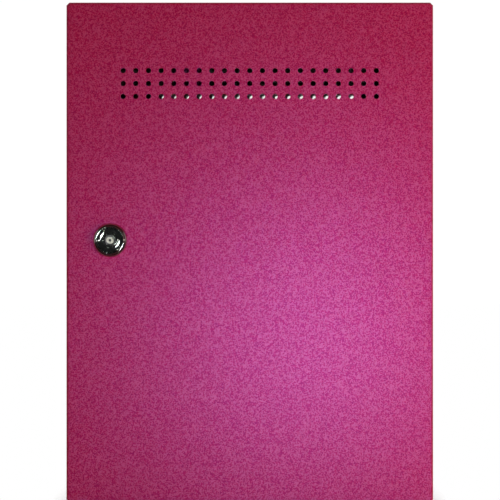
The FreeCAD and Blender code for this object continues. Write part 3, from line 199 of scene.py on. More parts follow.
def brushed():
    """Stainless sheet with brush lines along X and a few finger marks."""
    g = Graph("stainless_trim", Metallic=0.75, Anisotropic=0.4)
    line = g.noise(1.0, 3.0, 0.6, g.mapped(Scale=(60.0, 2400.0, 2400.0)))
    marks = g.span(g.noise(55.0, 5.0, 0.7), 0.55, 0.70)
    sheet = g.mix(line, (0.50, 0.50, 0.51, 1), (0.66, 0.66, 0.67, 1))
    g.out("Base Color", g.mix(g.maths("MULTIPLY", marks, 0.25), sheet, grey(0.40)))
    dulled = g.maths("ADD", line, g.maths("MULTIPLY", marks, 0.3))
    g.out("Roughness", g.span(dulled, 0.3, 0.9, 0.24, 0.46))
    g.out("Normal", g.bump(line, 0.00003, 0.5))
    return g.material


def moulded(name, dark, pale, smooth, rough, grain=1600.0, depth=0.00004, **sockets):
    """Moulded plastic or rubber: slight tone clouds, fine grain in the surface."""
    g = Graph(name, **sockets)
    g.out("Base Color", g.mix(g.noise(45.0, 3.0), dark, pale))
    g.out("Roughness", g.span(g.noise(grain / 4, 2.0), 0.3, 0.7, smooth, rough))
    g.out("Normal", g.bump(g.noise(grain, 2.0), depth, 0.6))
    return g.material


def circuit_board():
    """Green solder mask over copper tracks."""
    upright = (math.pi / 2, 0, 0)
    g = Graph("circuit_board", Coat_Weight=0.4, Coat_Roughness=0.15)
    track = g.node("ShaderNodeTexBrick", {
        "Vector": g.mapped(Rotation=upright), "Scale": 220.0, "Mortar Size": 0.012,
        "Brick Width": 1.1, "Row Height": 0.35, "Color1": (0.008, 0.10, 0.035, 1),
        "Color2": (0.012, 0.13, 0.05, 1), "Mortar": (0.03, 0.24, 0.10, 1)})
    g.out("Base Color", track.outputs["Color"])
    g.out("Roughness", g.span(g.noise(400.0), 0.3, 0.7, 0.30, 0.42))
    g.out("Normal", g.bump(track.outputs["Fac"], 0.00003, 0.6))
    return g.material


MATERIALS = {
    "crimson_powder_coat": powder_coat(),
    "galvanised_steel": spangled_zinc(),
    "zinc_plated_steel": plated_steel(),
    "chrome_lock": plating("chrome_lock", (0.55, 0.58, 0.55, 1), (0.70, 0.73, 0.70, 1), 0.04, 0.10),
    "stainless_trim": brushed(),
    "black_rubber": moulded("black_rubber", grey(0.012), grey(0.022), 0.62, 0.80, 1300.0, 0.00008),
    "grey_silicone": moulded("grey_silicone", grey(0.075), grey(0.10), 0.55, 0.70, 1500.0),
    "black_plastic": moulded("black_plastic", grey(0.006), grey(0.011), 0.38, 0.52),
    "grey_plastic": moulded("grey_plastic", (0.28, 0.30, 0.31, 1), (0.33, 0.35, 0.36, 1), 0.40, 0.52),
    "white_plastic": moulded("white_plastic", (0.84, 0.84, 0.82, 1), (0.90, 0.90, 0.88, 1), 0.24, 0.34),
    "blue_button": moulded("blue_button", (0.01, 0.07, 0.42, 1), (0.02, 0.10, 0.52, 1), 0.14, 0.22,
                           Coat_Weight=0.5, Emission_Color=(0.05, 0.25, 1.0, 1), Emission_Strength=0.15),
    "red_button": moulded("red_button", (0.40, 0.01, 0.01, 1), (0.50, 0.02, 0.015, 1), 0.18, 0.28,
                          Coat_Weight=0.4),
    "clear_flap": moulded("clear_flap", (0.55, 0.60, 0.62, 1), (0.62, 0.66, 0.68, 1), 0.06, 0.14,
                          Transmission_Weight=0.85, IOR=1.49),
    "display_glass": moulded("display_glass", (0.004, 0.004, 0.006, 1), (0.008, 0.008, 0.010, 1), 0.05, 0.09,
                             Coat_Weight=1.0, Coat_Roughness=0.03),
    "green_board": circuit_board(),
    "cable_sheath": moulded("cable_sheath", (0.012, 0.012, 0.013, 1), (0.022, 0.022, 0.023, 1), 0.35, 0.5),
}

for row in frame["record"]["subparts"]:
    shown = NODES[row["node"]]
    shown.data.materials.clear()
    shown.data.materials.append(MATERIALS[row["material_slot"]])


# ---------------------------------------------------------------- finishes by place within a node
def lamp(name, colour, strength):
    """Small lit plastic lens, its tone a little clouded."""
    g = Graph(name, Roughness=0.3, Emission_Color=colour, Emission_Strength=strength)
    g.out("Base Color", g.mix(g.noise(900.0), colour, grey(0.8)))
    return g.material


SATIN_NICKEL = plating("satin_nickel", (0.40, 0.41, 0.34, 1), (0.62, 0.62, 0.54, 1), 0.26, 0.32)
# dark steel: the real finish of the faceplate screws, and painted shade in the lock post's dimple, on its
# side and down its keyway
DARK_STEEL_AND_PAINTED_SHADE = plating("dark_steel_and_painted_shade", grey(0.05), grey(0.09), 0.30, 0.40)
BRASS = plating("brass", (0.50, 0.36, 0.12, 1), (0.66, 0.50, 0.20, 1), 0.20, 0.34, 0.6)
RELAY_BLUE = moulded("relay_blue", (0.01, 0.05, 0.26, 1), (0.015, 0.07, 0.33, 1), 0.28, 0.38)
CREAM = moulded("cream_plastic", (0.62, 0.58, 0.46, 1), (0.70, 0.66, 0.54, 1), 0.34, 0.46)
INK = moulded("printed_ink", grey(0.02), grey(0.035), 0.45, 0.60)
PAINT = moulded("printed_white", grey(0.70), grey(0.80), 0.45, 0.60)
GREEN_LAMP = lamp("green_lamp", (0.05, 0.9, 0.15, 1), 2.0)
WHITE_LAMP = lamp("white_lamp", (0.75, 0.88, 1.0, 1), 1.0)
BLUE_LAMP = lamp("blue_lamp", (0.10, 0.45, 1.0, 1), 1.6)
WIRE_COLOURS = {
    "red": ((0.42, 0.010, 0.008, 1), (0.52, 0.02, 0.015, 1)),
    "black": (grey(0.012), grey(0.022)),
    "yellow": ((0.62, 0.42, 0.02, 1), (0.72, 0.50, 0.04, 1)),
    "blue": ((0.01, 0.06, 0.36, 1), (0.02, 0.09, 0.44, 1)),
    "grey": (grey(0.22), grey(0.28)),
    "white": (grey(0.66), grey(0.76)),
}
WIRES = {key: moulded("wire_" + key, dark, pale, 0.34, 0.48) for key, (dark, pale) in WIRE_COLOURS.items()}


def repaint(node, materials, choose):
    """Several finishes on one node: choose takes a face's centre and number, and answers with an index."""
    mesh = NODES[node].data
    mesh.materials.clear()
    for material in materials:
        mesh.materials.append(material)
    for face in mesh.polygons:
        face.material_index = choose(NODES[node].matrix_world @ face.center, face.index)


def strands(node):
    """Number of the separate solid that each face of a node belongs to, in an order that doesn't change."""
    mesh = NODES[node].data
    # faces that touch at a place have the same leader, and so belong to the same solid
    key = [tuple(round(c, 6) for c in v.co) for v in mesh.vertices]
    leader = {k: k for k in key}

    def top(k):
        while leader[k] != k:
            leader[k] = leader[leader[k]]
            k = leader[k]
        return k

    for face in mesh.polygons:
        first = top(key[face.vertices[0]])
        for v in face.vertices[1:]:
            leader[top(key[v])] = first
    found = [top(key[face.vertices[0]]) for face in mesh.polygons]
    order = {k: i for i, k in enumerate(sorted(set(found)))}
    return [order[k] for k in found]


def paint_wires(node, colours):
    strand = strands(node)
    repaint(node, [WIRES[c] for c in colours], lambda centre, i: strand[i] % len(colours))


def paint_lock_cylinder():
    """Satin ring on the front of the post; dark steel as painted shade in its dimple, on its side and down
    the keyway.
    """
    dimple, front_depth = 1.25 * MM, 0.5 * MM
    low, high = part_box("lock_cylinder")
    middle = (low + high) / 2
    faces = NODES["lock_cylinder"].data.polygons

    def choose(centre, i):
        away = math.hypot(centre.x - middle.x, centre.z - middle.z)
        front = faces[i].normal.y < -0.5 and centre.y < low.y + front_depth
        # the dark steel on the dimple, the post's side and the keyway is painted shade
        return 0 if front and away > dimple else 1

    repaint("lock_cylinder", [SATIN_NICKEL, DARK_STEEL_AND_PAINTED_SHADE], choose)


def paint_board_components():
    """Blue relays on the left, cream connectors on the right and at the top, black between them."""
    relays, connectors = 15.5 * MM, 9.5 * MM
    low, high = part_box("board_components")

    def choose(centre, i):
        if centre.x > high.x - connectors or centre.z > high.z - connectors:
            return 1
        return 0 if centre.x < low.x + relays else 2

    repaint("board_components", [RELAY_BLUE, CREAM, MATERIALS["black_plastic"]], choose)


paint_lock_cylinder()
paint_board_components()
paint_wires("low_voltage_leads", ("red", "black", "yellow", "grey", "blue"))
paint_wires("bay_leads", ("black", "white", "grey"))


# ---------------------------------------------------------------- local frames and outlines
def facing(origin, u, v, n):
    """Matrix of a local frame: U to the right, V up and N towards whoever faces it."""
    rows = [[u[i], v[i], n[i], origin[i]] for i in range(3)]
    return Matrix(rows + [[0, 0, 0, 1]])


def doorward(y):
    return facing((0, y, 0), (1, 0, 0), (0, 0, 1), (0, -1, 0))


def customerward(y):
    return facing((0, y, 0), (-1, 0, 0), (0, 0, 1), (0, 1, 0))


def sideward(x):
    return facing((x, 0, 0), (0, 1, 0), (0, 0, 1), (1, 0, 0))


def on_glass():
    """Frame on the display glass, at the middle of its outer face, in the slope's direction."""
    glass = NODES["display_glass"]
    outer = max(glass.data.polygons, key=lambda f: f.area * (f.normal.y > 0.5))
    n = outer.normal.normalized()
    v = (Vector((0, 0, 1)) - n * n.z).normalized()
    low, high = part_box("display_glass")
    middle = (low + high) / 2
    middle += n * ((glass.matrix_world @ outer.center - middle).dot(n))
    return facing(middle, v.cross(n), v, n)


def circle(u, v, radius, steps=20, n=None):
    """Points round (u, v), with N as a third coordinate where it is given."""
    turns = [2 * math.pi * k / steps for k in range(steps)]
    level = () if n is None else (n,)
    return [(u + radius * math.cos(a), v + radius * math.sin(a), *level) for a in turns]


def rounded(u, v, wide, high, corner):
    """Outline of a rounded rectangle about (u, v)."""
    steps = 5
    points = []
    for quarter, (su, sv) in enumerate(((1, 1), (-1, 1), (-1, -1), (1, -1))):
        cu, cv = u + su * (wide / 2 - corner), v + sv * (high / 2 - corner)
        for k in range(steps + 1):
            a = math.pi / 2 * (quarter + k / steps)
            points.append((cu + corner * math.cos(a), cv + corner * math.sin(a)))
    return points


def spread(count, pitch):
    """Places of a row of equal steps about zero."""
    return [(i - (count - 1) / 2) * pitch for i in range(count)]


class Piece:
    """A mesh built from outlines and turned profiles in a local frame, then put on a body."""

    def __init__(self, name, frame_):
        self.name, self.frame, self.mesh = name, frame_, bmesh.new()

    def rings(self, loops, closed=True):
        """Skin over matching loops of (u, v, n) points, from the lowest to the highest."""
        made = [[self.mesh.verts.new(self.frame @ Vector(p)) for p in loop] for loop in loops]
        for a, b in zip(made, made[1:]):
            for k in range(len(a)):
                m = (k + 1) % len(a)
                self.mesh.faces.new((a[k], a[m], b[m], b[k]))
        if closed:
            self.mesh.faces.new(list(reversed(made[0])))
            self.mesh.faces.new(made[-1])

    def prism(self, outline, low, high, bevel=0.0):
        """A convex outline raised from low to high, with its outer edge softened."""
        loops = [[(u, v, low) for u, v in outline], [(u, v, high - bevel) for u, v in outline]]
        if bevel:
            cu = sum(p[0] for p in outline) / len(outline)
            cv = sum(p[1] for p in outline) / len(outline)
            share = 1 - bevel / max(math.hypot(u - cu, v - cv) for u, v in outline)
            loops.append([(cu + (u - cu) * share, cv + (v - cv) * share, high) for u, v in outline])
        self.rings(loops)

    def frame_ring(self, outer, inner, low, high):
        """The flat band between two matching outlines."""
        loops = [[(u, v, n) for u, v in outline]
                 for outline, n in ((outer, low), (outer, high), (inner, high), (inner, low), (outer, low))]
        self.rings(loops, closed=False)

    def turned(self, u, v, profile, steps=20):
        """A profile of (radius, n) points in millimetres, turned about N from its foot to its top."""
        self.rings([circle(u, v, r * MM, steps, n * MM) for r, n in profile])

    def screw(self, u, v, foot, radius, height, groove=0.0):
        """Slotted head: a base disc with two half discs on it, the slot turned by the angle groove."""
        disc, slot_half, arc_from, arc_steps = 0.55, 0.18, math.radians(12), 10
        arc_turn = math.pi - 2 * arc_from
        self.rings([circle(u, v, radius, n=n) for n in (foot, foot + height * disc)])
        for side in (1, -1):
            angles = [arc_from + arc_turn * k / arc_steps for k in range(arc_steps + 1)]
            half = [(side * radius * math.cos(a), side * radius * max(math.sin(a), slot_half))
                    for a in angles]
            turn = [(u + x * math.cos(groove) - y * math.sin(groove),
                     v + x * math.sin(groove) + y * math.cos(groove)) for x, y in half]
            self.prism(turn, foot + height * 0.5, foot + height, radius * 0.10)

    def finish(self, body, slot, material=None):
        """Put the mesh on its body, in the slot's own material or in another finish."""
        bmesh.ops.remove_doubles(self.mesh, verts=self.mesh.verts, dist=1e-7)
        bmesh.ops.recalc_face_normals(self.mesh, faces=self.mesh.faces)
        data = bpy.data.meshes.new(self.name)
        self.mesh.to_mesh(data)
        self.mesh.free()
        data.materials.append(material or MATERIALS[slot])
        made = bpy.data.objects.new(self.name, data)
        bpy.context.scene.collection.objects.link(made)
        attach(made, body)


# ---------------------------------------------------------------- fine visible pieces
SUNK = -0.05 * MM  # how far a glued or welded piece reaches into the face under it


def terminal_screws():
    """Screws down in the wells of the terminal strip and of the supply's ways."""
    rng = random.Random(11)
    low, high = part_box("terminal_block")
    middle = (low + high) / 2
    strip = Piece("terminal_screws", doorward(low.y))
    for du in spread(10, 10 * MM):
        for dv in spread(2, 13 * MM):
            strip.screw(middle.x + du, middle.z + dv, foot=-7 * MM, radius=2.8 * MM, height=2.0 * MM,
                        groove=rng.uniform(0, 3))
    strip.finish("case", "zinc_plated_steel", BRASS)
    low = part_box("supply_terminals")[0]
    supply = Piece("supply_screws", doorward(low.y))
    ways, way = 9, 9 * MM
    for i in range(ways):
        supply.screw(low.x + 6 * MM, low.z + (i + 0.5) * way, foot=-6 * MM, radius=2.6 * MM, height=1.5 * MM,
                     groove=rng.uniform(0, 3))
    supply.finish("case", "zinc_plated_steel")


def board_details():
    """Small parts on the control board: chip legs, resistors, pins, capacitor tops, screws and lamps."""
    low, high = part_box("control_board")
    face = doorward(low.y)
    left, foot = low.x, low.z
    metal = Piece("board_metal", face)
    dark = Piece("board_resistors", face)
    lights = Piece("board_lamps", face)

    def block(piece, u, v, wide, tall, low_n, high_n, bevel):
        """A small block, with its size and its levels over the board in millimetres."""
        outline = rounded(u, v, wide * MM, tall * MM, 0.2 * MM)
        piece.prism(outline, low_n * MM, high_n * MM, bevel * MM)

    chip_u, chip_v, chip_half = left + 38 * MM, foot + 50 * MM, 8.0 * MM  # to the middle of its legs
    for d in spread(8, 1.5 * MM):
        for side in (-1, 1):
            block(metal, chip_u + d, chip_v + side * chip_half, 0.7, 2.2, 0, 0.5, 0.1)
            block(metal, chip_u + side * chip_half, chip_v + d, 2.2, 0.7, 0, 0.5, 0.1)
    rng = random.Random(5)
    rows, columns, astray, half = 4, 4, 0.4, 1.4
    for row in range(rows):
        for column in range(columns):
            u = left + (27 + 6 * column + rng.uniform(-astray, astray)) * MM
            v = foot + (64 + 5.5 * row) * MM
            block(dark, u, v, 2.0, 1.4, 0, 0.7, 0.15)
            for side in (-1, 1):
                block(metal, u + side * half * MM, v, 0.8, 1.5, 0, 0.75, 0.15)
    capacitor_top = [(4.5, 11.9), (4.5, 12.15), (3.9, 12.3)]
    for dv in (18 * MM, 32 * MM):
        metal.turned(left + 40 * MM, foot + dv, capacitor_top)
    for d in spread(9, 3.2 * MM):
        block(metal, (low.x + high.x) / 2 + d, high.z - 7.5 * MM, 1.0, 1.0, 8.9, 9.5, 0.2)
    solder, dome = [(1.1, 0), (0.8, 0.5), (0.3, 1.0)], [(1.2, 0), (1.2, 1.4), (0.7, 2.0)]
    for relay in (22 * MM, 46 * MM, 70 * MM):
        for d in spread(3, 3.0 * MM):
            metal.turned(left + 4.5 * MM, foot + relay + d, solder, 10)
        lights.turned(left + 27.5 * MM, foot + relay - 7 * MM, dome, 12)
    metal.finish("case", "zinc_plated_steel")
    dark.finish("case", "black_plastic")
    lights.finish("case", "green_board", GREEN_LAMP)


def hub_details():
    """A lamp over each of the hub's sockets, and its blank label."""
    low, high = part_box("charging_hub")
    middle = (low + high) / 2
    face = doorward(low.y)
    dome = [(1.5, -0.1), (1.5, 0.3), (1.0, 0.6)]
    lamps = Piece("hub_lamps", face)
    for du in spread(8, 19 * MM):
        lamps.turned(middle.x + du, low.z + 6 * MM, dome, 14)
    lamps.finish("case", "white_plastic", GREEN_LAMP)
    label = Piece("hub_label", face)
    label.prism(rounded(middle.x, low.z + 18 * MM, 60 * MM, 14 * MM, 2 * MM), SUNK, 0.2 * MM, 0.1 * MM)
    label.finish("case", "grey_plastic")


def duct_ribs():
    """Two moulded lines down the trunking's cover."""
    low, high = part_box("wire_duct_cover")
    middle = (low + high) / 2
    made = Piece("duct_cover_ribs", doorward(low.y))
    for d in spread(2, 22 * MM):
        rib = rounded(middle.x + d, middle.z, 1.2 * MM, high.z - low.z - 4 * MM, 0.5 * MM)
        made.prism(rib, -0.1 * MM, 0.6 * MM, 0.3 * MM)
    made.finish("case", "grey_plastic")


def supply_cover_screws():
    """The four screws of the power supply's cover."""
    low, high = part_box("power_supply")
    made = Piece("supply_cover_screws", doorward(low.y))
    for u in (low.x + 24 * MM, high.x - 5 * MM):
        for v in (low.z + 5 * MM, high.z - 5 * MM):
            made.screw(u, v, foot=SUNK, radius=2.4 * MM, height=1.2 * MM, groove=0.6)
    made.finish("case", "zinc_plated_steel")


def cable_tie():
    """Nylon tie, with its lock, round the leads where they leave the foot of the trunking."""
    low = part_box("wire_duct")[0]
    lead_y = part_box("charging_hub")[1].y - 14 * MM
    face = facing((0, lead_y, low.z - 5.5 * MM), (1, 0, 0), (0, 1, 0), (0, 0, 1))
    middle, half = low.x + 17.3 * MM, 1.3 * MM
    made = Piece("cable_tie", face)
    made.frame_ring(rounded(middle, 0, 20.6 * MM, 6.2 * MM, 3.0 * MM),
                    rounded(middle, 0, 18.8 * MM, 4.4 * MM, 2.1 * MM), -half, half)
    lock = rounded(middle + 6 * MM, -4.4 * MM, 4.4 * MM, 3.0 * MM, 0.6 * MM)
    made.prism(lock, -2.2 * MM, 2.2 * MM, 0.4 * MM)
    made.finish("case", "white_plastic")


def door_seal():
    """Foam strip on the case's frame, beside and above the door opening."""
    wide, thick, corner, crown = 6 * MM, 2.0 * MM, 2.5 * MM, 0.8 * MM
    low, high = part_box("case_wrap")
    middle = (low + high) / 2
    made = Piece("door_seal", doorward(low.y))
    upright = rounded(low.x + 17.5 * MM, middle.z + 5 * MM, wide, 330 * MM, corner)
    across = rounded(middle.x - 6 * MM, high.z - 11 * MM, 226 * MM, wide, corner)
    for strip in (upright, across):
        made.prism(strip, SUNK, thick, crown)
    made.finish("case", "black_rubber")


def weld_marks():
    """Spot welds along the feet of the door's two stiffeners."""
    sheet, foot_in, foot_out, end, count = 1.2 * MM, 39 * MM, 5 * MM, 14 * MM, 6
    dish = [(2.8, -0.05), (2.6, 0.22), (1.9, 0.26), (1.5, 0.06)]
    low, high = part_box("door_stiffeners")
    made = Piece("door_spot_welds", customerward(low.y + sheet))
    for foot in (low.x + foot_out, low.x + foot_in, high.x - foot_in, high.x - foot_out):
        for k in range(count):
            v = low.z + end + (high.z - low.z - 2 * end) * k / (count - 1)
            made.turned(-foot, v, dish, 16)
    made.finish("door", "galvanised_steel")


def display_marks():
    """Lit picture on the display: a battery with its charge, and three phones."""
    lit = Piece("display_picture", on_glass())
    top, foot = 0.06 * MM, 0.01 * MM

    def outline(u, v, wide, high, corner, band):
        lit.frame_ring(rounded(u, v, wide, high, corner),
                       rounded(u, v, wide - 2 * band, high - 2 * band, corner / 2), foot, top)

    row_v, row_high = 4 * MM, 24 * MM
    first_bar, bar_step, first_phone, phone_step = -47.5 * MM, 11.5 * MM, 22 * MM, 19 * MM
    outline(-32 * MM, row_v, 46 * MM, row_high, 4 * MM, 1.6 * MM)
    lit.prism(rounded(-6.6 * MM, row_v, 3.2 * MM, 9 * MM, 1.2 * MM), foot, top)
    for k in range(3):
        lit.prism(rounded(first_bar + bar_step * k, row_v, 8.5 * MM, 17 * MM, 1.5 * MM), foot, top)
    for k in range(3):
        u = first_phone + phone_step * k
        outline(u, row_v, 12.5 * MM, row_high, 2.2 * MM, 1.1 * MM)
        lit.prism(rounded(u, -4.6 * MM, 3.0 * MM, 1.2 * MM, 0.5 * MM), foot, top)
        for dot in spread(k + 1, 3.4 * MM):
            lit.prism(circle(u + dot, -18 * MM, 1.1 * MM, 14), foot, top)
    lit.prism(rounded(0, -27 * MM, 128 * MM, 0.8 * MM, 0.3 * MM), foot, top)
    lit.finish("case", "display_glass", WHITE_LAMP)


def faceplate_details():
    """Corner screws of the coin faceplate, and its plain marks: a coin and an arrow."""
    face = on_glass()
    low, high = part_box("coin_faceplate")
    middle = face.inverted() @ ((low + high) / 2)
    plate = 3.1 * MM
    screws = Piece("faceplate_screws", face)
    for su in (-1, 1):
        for sv in (-1, 1):
            screws.screw(middle.x + su * 27.5 * MM, middle.y + sv * 47.5 * MM, foot=plate - 0.1 * MM,
                         radius=2.6 * MM, height=1.2 * MM, groove=0.4 * su)
    screws.finish("case", "stainless_trim", DARK_STEEL_AND_PAINTED_SHADE)
    marks = Piece("faceplate_marks", face)
    half_ink = 0.05 * MM
    foot, top = plate - half_ink, plate + half_ink
    u, v = middle.x + 15 * MM, middle.y + 4 * MM
    for outer, inner, steps in ((4.2 * MM, 3.5 * MM, 24), (2.4 * MM, 1.9 * MM, 20)):
        marks.frame_ring(circle(u, v, outer, steps), circle(u, v, inner, steps), foot, top)
    u, v, half, tip = middle.x, middle.y - 11 * MM, 3.6 * MM, 4.2 * MM
    marks.prism([(u - half, v), (u + half, v), (u, v - tip)], foot, top)
    marks.finish("case", "black_plastic", INK)


def plinth_details():
    """Steel shells in the USB mouths, lit rings round the buttons and the printed marks over them."""
    face = customerward(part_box("fascia")[1].y)
    shells, halos, marks = Piece("usb_shells", face), Piece("button_halos", face), Piece("plinth_marks", face)
    print_low, print_high = -0.02 * MM, 0.07 * MM
    for side in ("left", "centre", "right"):
        low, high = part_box("usb_socket_" + side)
        u, v = -(low.x + high.x) / 2, (low.z + high.z) / 2
        for dv in spread(2, 14 * MM):
            shells.frame_ring(rounded(u, v + dv, 13.1 * MM, 5.5 * MM, 0.6 * MM),
                              rounded(u, v + dv, 12.4 * MM, 4.8 * MM, 0.4 * MM), -11 * MM, 2.3 * MM)
        mark_v = v + 26 * MM
        marks.frame_ring(rounded(u, mark_v, 7 * MM, 12.5 * MM, 1.4 * MM),
                         rounded(u, mark_v, 5.6 * MM, 10.6 * MM, 0.8 * MM), print_low, print_high)
        low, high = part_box("select_button_" + side)
        u, v = -(low.x + high.x) / 2, (low.z + high.z) / 2
        halos.frame_ring(circle(u, v, 8.9 * MM, 40), circle(u, v, 7.4 * MM, 40), 2.15 * MM, 2.3 * MM)
        half_bolt = [(-3.0 * MM, -0.6 * MM), (1.9 * MM, -0.6 * MM), (1.2 * MM, 6.2 * MM)]
        for turn in (1, -1):
            marks.prism([(u + turn * du, mark_v + turn * dv) for du, dv in half_bolt], print_low, print_high)
    shells.finish("case", "zinc_plated_steel")
    halos.finish("case", "blue_button", BLUE_LAMP)
    marks.finish("case", "white_plastic", PAINT)


def side_details():
    """Fan screws on the case's right side, and a blank rating plate there with its rivets."""
    face = sideward(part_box("case_wrap")[1].x)
    low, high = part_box("fan_housing")
    u, v = (low.y + high.y) / 2, (low.z + high.z) / 2
    screws = Piece("fan_screws", face)
    for du in spread(2, 71.5 * MM):
        for dv in spread(2, 71.5 * MM):
            screws.screw(u + du, v + dv, foot=SUNK, radius=3.2 * MM, height=1.5 * MM, groove=0.8)
    low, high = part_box("mains_inlet")
    u, v = (low.y + high.y) / 2, high.z + 30 * MM
    rivet = [(1.5, 0.3), (1.5, 0.6), (0.8, 1.0)]
    for du in spread(2, 34 * MM):
        screws.turned(u + du, v, rivet, 14)
    screws.finish("case", "zinc_plated_steel")
    plate = Piece("rating_plate", face)
    plate.prism(rounded(u, v, 42 * MM, 24 * MM, 1.5 * MM), SUNK, 0.45 * MM, 0.15 * MM)
    plate.finish("case", "stainless_trim")


def earth_studs():
    """Two brass studs on the equipment plate, each with a washer and a nut."""
    sheet = 1.5 * MM
    thread = [(2.0, 3.9), (2.0, 8.6), (1.4, 9.2)]
    low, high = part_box("equipment_plate")
    made = Piece("earth_studs", doorward(high.y - sheet))
    for du in (12 * MM, 26 * MM):
        u, v = low.x + du, low.z + 14 * MM
        made.prism(circle(u, v, 5.2 * MM, 24), SUNK, 0.9 * MM, 0.2 * MM)
        made.prism(circle(u, v, 4.4 * MM, 6), 0.8 * MM, 4.0 * MM, 0.5 * MM)
        made.turned(u, v, thread, 16)
    made.finish("case", "zinc_plated_steel", BRASS)


def cash_box_card():
    """Label holder on the cash box's front, and the blank card in it."""
    low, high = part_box("cash_box")
    face = doorward(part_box("cash_box_lid")[0].y + 1.3 * MM)
    u, v = (low.x + high.x) / 2, low.z + 11 * MM
    holder = Piece("cash_box_label_holder", face)
    holder.frame_ring(rounded(u, v, 46 * MM, 15 * MM, 1.5 * MM), rounded(u, v, 40 * MM, 10 * MM, 0.8 * MM),
                      SUNK, 1.2 * MM)
    holder.finish("case", "zinc_plated_steel")
    card = Piece("cash_box_label", face)
    card.prism(rounded(u, v, 41 * MM, 11 * MM, 0.5 * MM), SUNK, 0.4 * MM)
    card.finish("case", "white_plastic", PAINT)


terminal_screws()
board_details()
hub_details()
duct_ribs()
supply_cover_screws()
cable_tie()
door_seal()
weld_marks()
display_marks()
faceplate_details()
plinth_details()
side_details()
earth_studs()
cash_box_card()


# ---------------------------------------------------------------- floor, room and camera
FACE_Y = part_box("service_door")[0].y
AIM = Vector((0.0002, FACE_Y, 0.21355))  # middle of the view, on the door's face
CAMERA_AWAY = 1.6  # from the door's face
VIEW_WIDTH = 0.4087  # what the view takes in across the door's face


def floor():
    """Pale floor that keeps the kiosk's shadow close round it and is a plain white beyond."""
    wide, shadow = 12.0, 0.018
    footprint = (cad_high.x, cad_high.y, 0)
    nearness = (1, 0.3, 0)  # the shadow runs further before and behind the kiosk than beside it
    bpy.ops.mesh.primitive_plane_add(size=wide, location=(0, 0, 0))
    made = bpy.context.object
    made.name = "studio_floor"
    g = Graph("floor", Roughness=0.75)
    g.out("Base Color", g.mix(g.noise(8.0), grey(0.78), grey(0.82)))
    outside = g.vector("MAXIMUM", g.vector("SUBTRACT", g.vector("ABSOLUTE", g.place), footprint))
    away = g.vector("LENGTH", g.vector("MULTIPLY", outside, nearness))
    seen = g.node("ShaderNodeLightPath").outputs["Is Camera Ray"]
    white = g.node("ShaderNodeEmission", {"Color": grey(1.0), "Strength": 1.0})
    mixed = g.node("ShaderNodeMixShader", {
        0: g.maths("MULTIPLY", g.span(away, 0.0, shadow), seen), 1: g.shader.outputs[0], 2: white.outputs[0]})
    g.tree.links.new(mixed.outputs[0], g.tree.nodes["Material Output"].inputs["Surface"])
    made.data.materials.append(g.material)
    made.visible_glossy = False


def world():
    """White backdrop, and for other rays a dim room that is lighter on the customer side."""
    dim, bright, backdrop_strength = 0.012, 0.45, 1.02
    made = bpy.data.worlds.new("studio")
    bpy.context.scene.world = made
    made.use_nodes = True
    tree = made.node_tree
    tree.nodes.clear()
    toward = tree.nodes.new("ShaderNodeSeparateXYZ")
    tree.links.new(tree.nodes.new("ShaderNodeTexCoord").outputs["Generated"], toward.inputs[0])
    level = tree.nodes.new("ShaderNodeMapRange")
    for socket, value in {"From Min": 0.15, "From Max": 0.75, "To Min": dim, "To Max": bright}.items():
        level.inputs[socket].default_value = value
    tree.links.new(toward.outputs["Y"], level.inputs["Value"])
    room = tree.nodes.new("ShaderNodeBackground")
    tree.links.new(level.outputs[0], room.inputs["Strength"])
    backdrop = tree.nodes.new("ShaderNodeBackground")
    backdrop.inputs["Strength"].default_value = backdrop_strength
    for shader in (room, backdrop):
        shader.inputs["Color"].default_value = grey(1.0)
    mixed = tree.nodes.new("ShaderNodeMixShader")
    tree.links.new(tree.nodes.new("ShaderNodeLightPath").outputs["Is Camera Ray"], mixed.inputs[0])
    tree.links.new(room.outputs[0], mixed.inputs[1])
    tree.links.new(backdrop.outputs[0], mixed.inputs[2])
    tree.links.new(mixed.outputs[0], tree.nodes.new("ShaderNodeOutputWorld").inputs["Surface"])


def camera():
    data = bpy.data.cameras.new("camera")
    data.sensor_width = 36.0
    data.lens = data.sensor_width * CAMERA_AWAY / VIEW_WIDTH
    data.clip_start = 0.05
    made = bpy.data.objects.new("camera", data)
    bpy.context.scene.collection.objects.link(made)
    made.location = AIM + Vector((0, -CAMERA_AWAY, 0))
    made.rotation_euler = (math.pi / 2, 0, 0)
    bpy.context.scene.camera = made


# ---------------------------------------------------------------- light
MIDDLE = (0, 0, 0.2)
FLASH = (-0.20, FACE_Y - 3.2, 0.25)
CUSTOMER = (-0.5, 1.5, 1.0)
WARM, WARMER, PINK = (1.0, 0.96, 0.88), (1.0, 0.88, 0.75), (1.0, 0.96, 0.98)


def light(name, place, aim, watts, size, tall=None, colour=(1, 1, 1), glossy=True, diffuse=True):
    """Square area light, or a strip where tall is given; its glossy or its diffuse part may be left out."""
    data = bpy.data.lights.new(name, "AREA")
    data.energy = watts
    data.color = colour
    data.size = size
    if tall:
        data.shape = "RECTANGLE"
        data.size_y = tall
    made = bpy.data.objects.new(name, data)
    bpy.context.scene.collection.objects.link(made)
    made.location = place
    made.rotation_euler = (Vector(aim) - Vector(place)).to_track_quat("-Z", "Y").to_euler()
    made.visible_glossy = glossy
    made.visible_diffuse = diffuse
    made.visible_camera = False
    return made


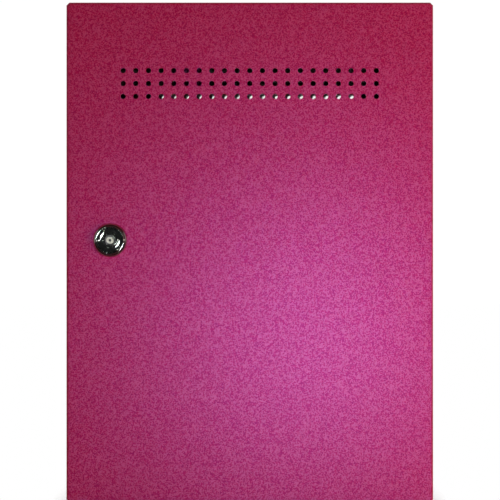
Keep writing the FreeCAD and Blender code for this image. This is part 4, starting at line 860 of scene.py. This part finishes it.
def only_on(lamp_, *nodes):
    """Light linking: the lamp lights these nodes and nothing else."""
    lit = bpy.data.collections.new(lamp_.name + "_receivers")
    for node in nodes:
        lit.objects.link(NODES[node])
    lamp_.light_linking.receiver_collection = lit


def lights_on_the_door():
    """A flash, the sheen low on the right, a fill from that side, and cards that show in the lock's rim."""
    light("flash", FLASH, AIM, 69.0, 0.05, glossy=False)
    hub_flash = light("flash_on_hub", FLASH, AIM, 44.0, 0.05, colour=PINK, glossy=False)
    only_on(hub_flash, "charging_hub")
    light("flash_spark", FLASH, AIM, 0.5, 0.05, diffuse=False)
    light("sheen_light", (0.108, FACE_Y - 1.6, 0.052), AIM, 7.1, 0.20, diffuse=False)
    light("fill", (0.60, FACE_Y - 0.50, 0.08), AIM, 9.8, 0.30, glossy=False)
    light("rim_card_left", (-0.95, FACE_Y - 0.55, 0.65), AIM, 0.10, 0.05, diffuse=False)
    light("rim_card_right", (0.75, FACE_Y - 0.80, 0.25), AIM, 0.6, 0.80, tall=0.04, colour=WARM,
          diffuse=False)
    light("rim_card_low", (0.35, FACE_Y - 0.55, -0.55), AIM, 0.2, 0.07, colour=WARMER, diffuse=False)


def lights_round_the_kiosk():
    """Softboxes over the kiosk, beside it and on the customer side, the last two with a glossy partner."""
    light("top_softbox", (0.3, 0.35, 1.6), MIDDLE, 18.0, 1.0, glossy=False)
    light("side_softbox", (1.4, 0.45, 0.7), MIDDLE, 14.0, 0.8, glossy=False)
    light("side_softbox_left", (-1.4, 0.45, 0.7), MIDDLE, 14.0, 0.8, glossy=False)
    light("side_gloss", (1.5, 0.2, 0.6), MIDDLE, 1.5, 1.2, diffuse=False)
    light("side_gloss_left", (-1.5, 0.2, 0.6), MIDDLE, 1.5, 1.2, diffuse=False)
    light("customer_softbox", CUSTOMER, MIDDLE, 40.0, 1.0, glossy=False)
    light("customer_gloss", CUSTOMER, MIDDLE, 3.0, 1.0, diffuse=False)


floor()
world()
camera()
lights_on_the_door()
lights_round_the_kiosk()
bpy.context.scene.view_settings.view_transform = "Standard"
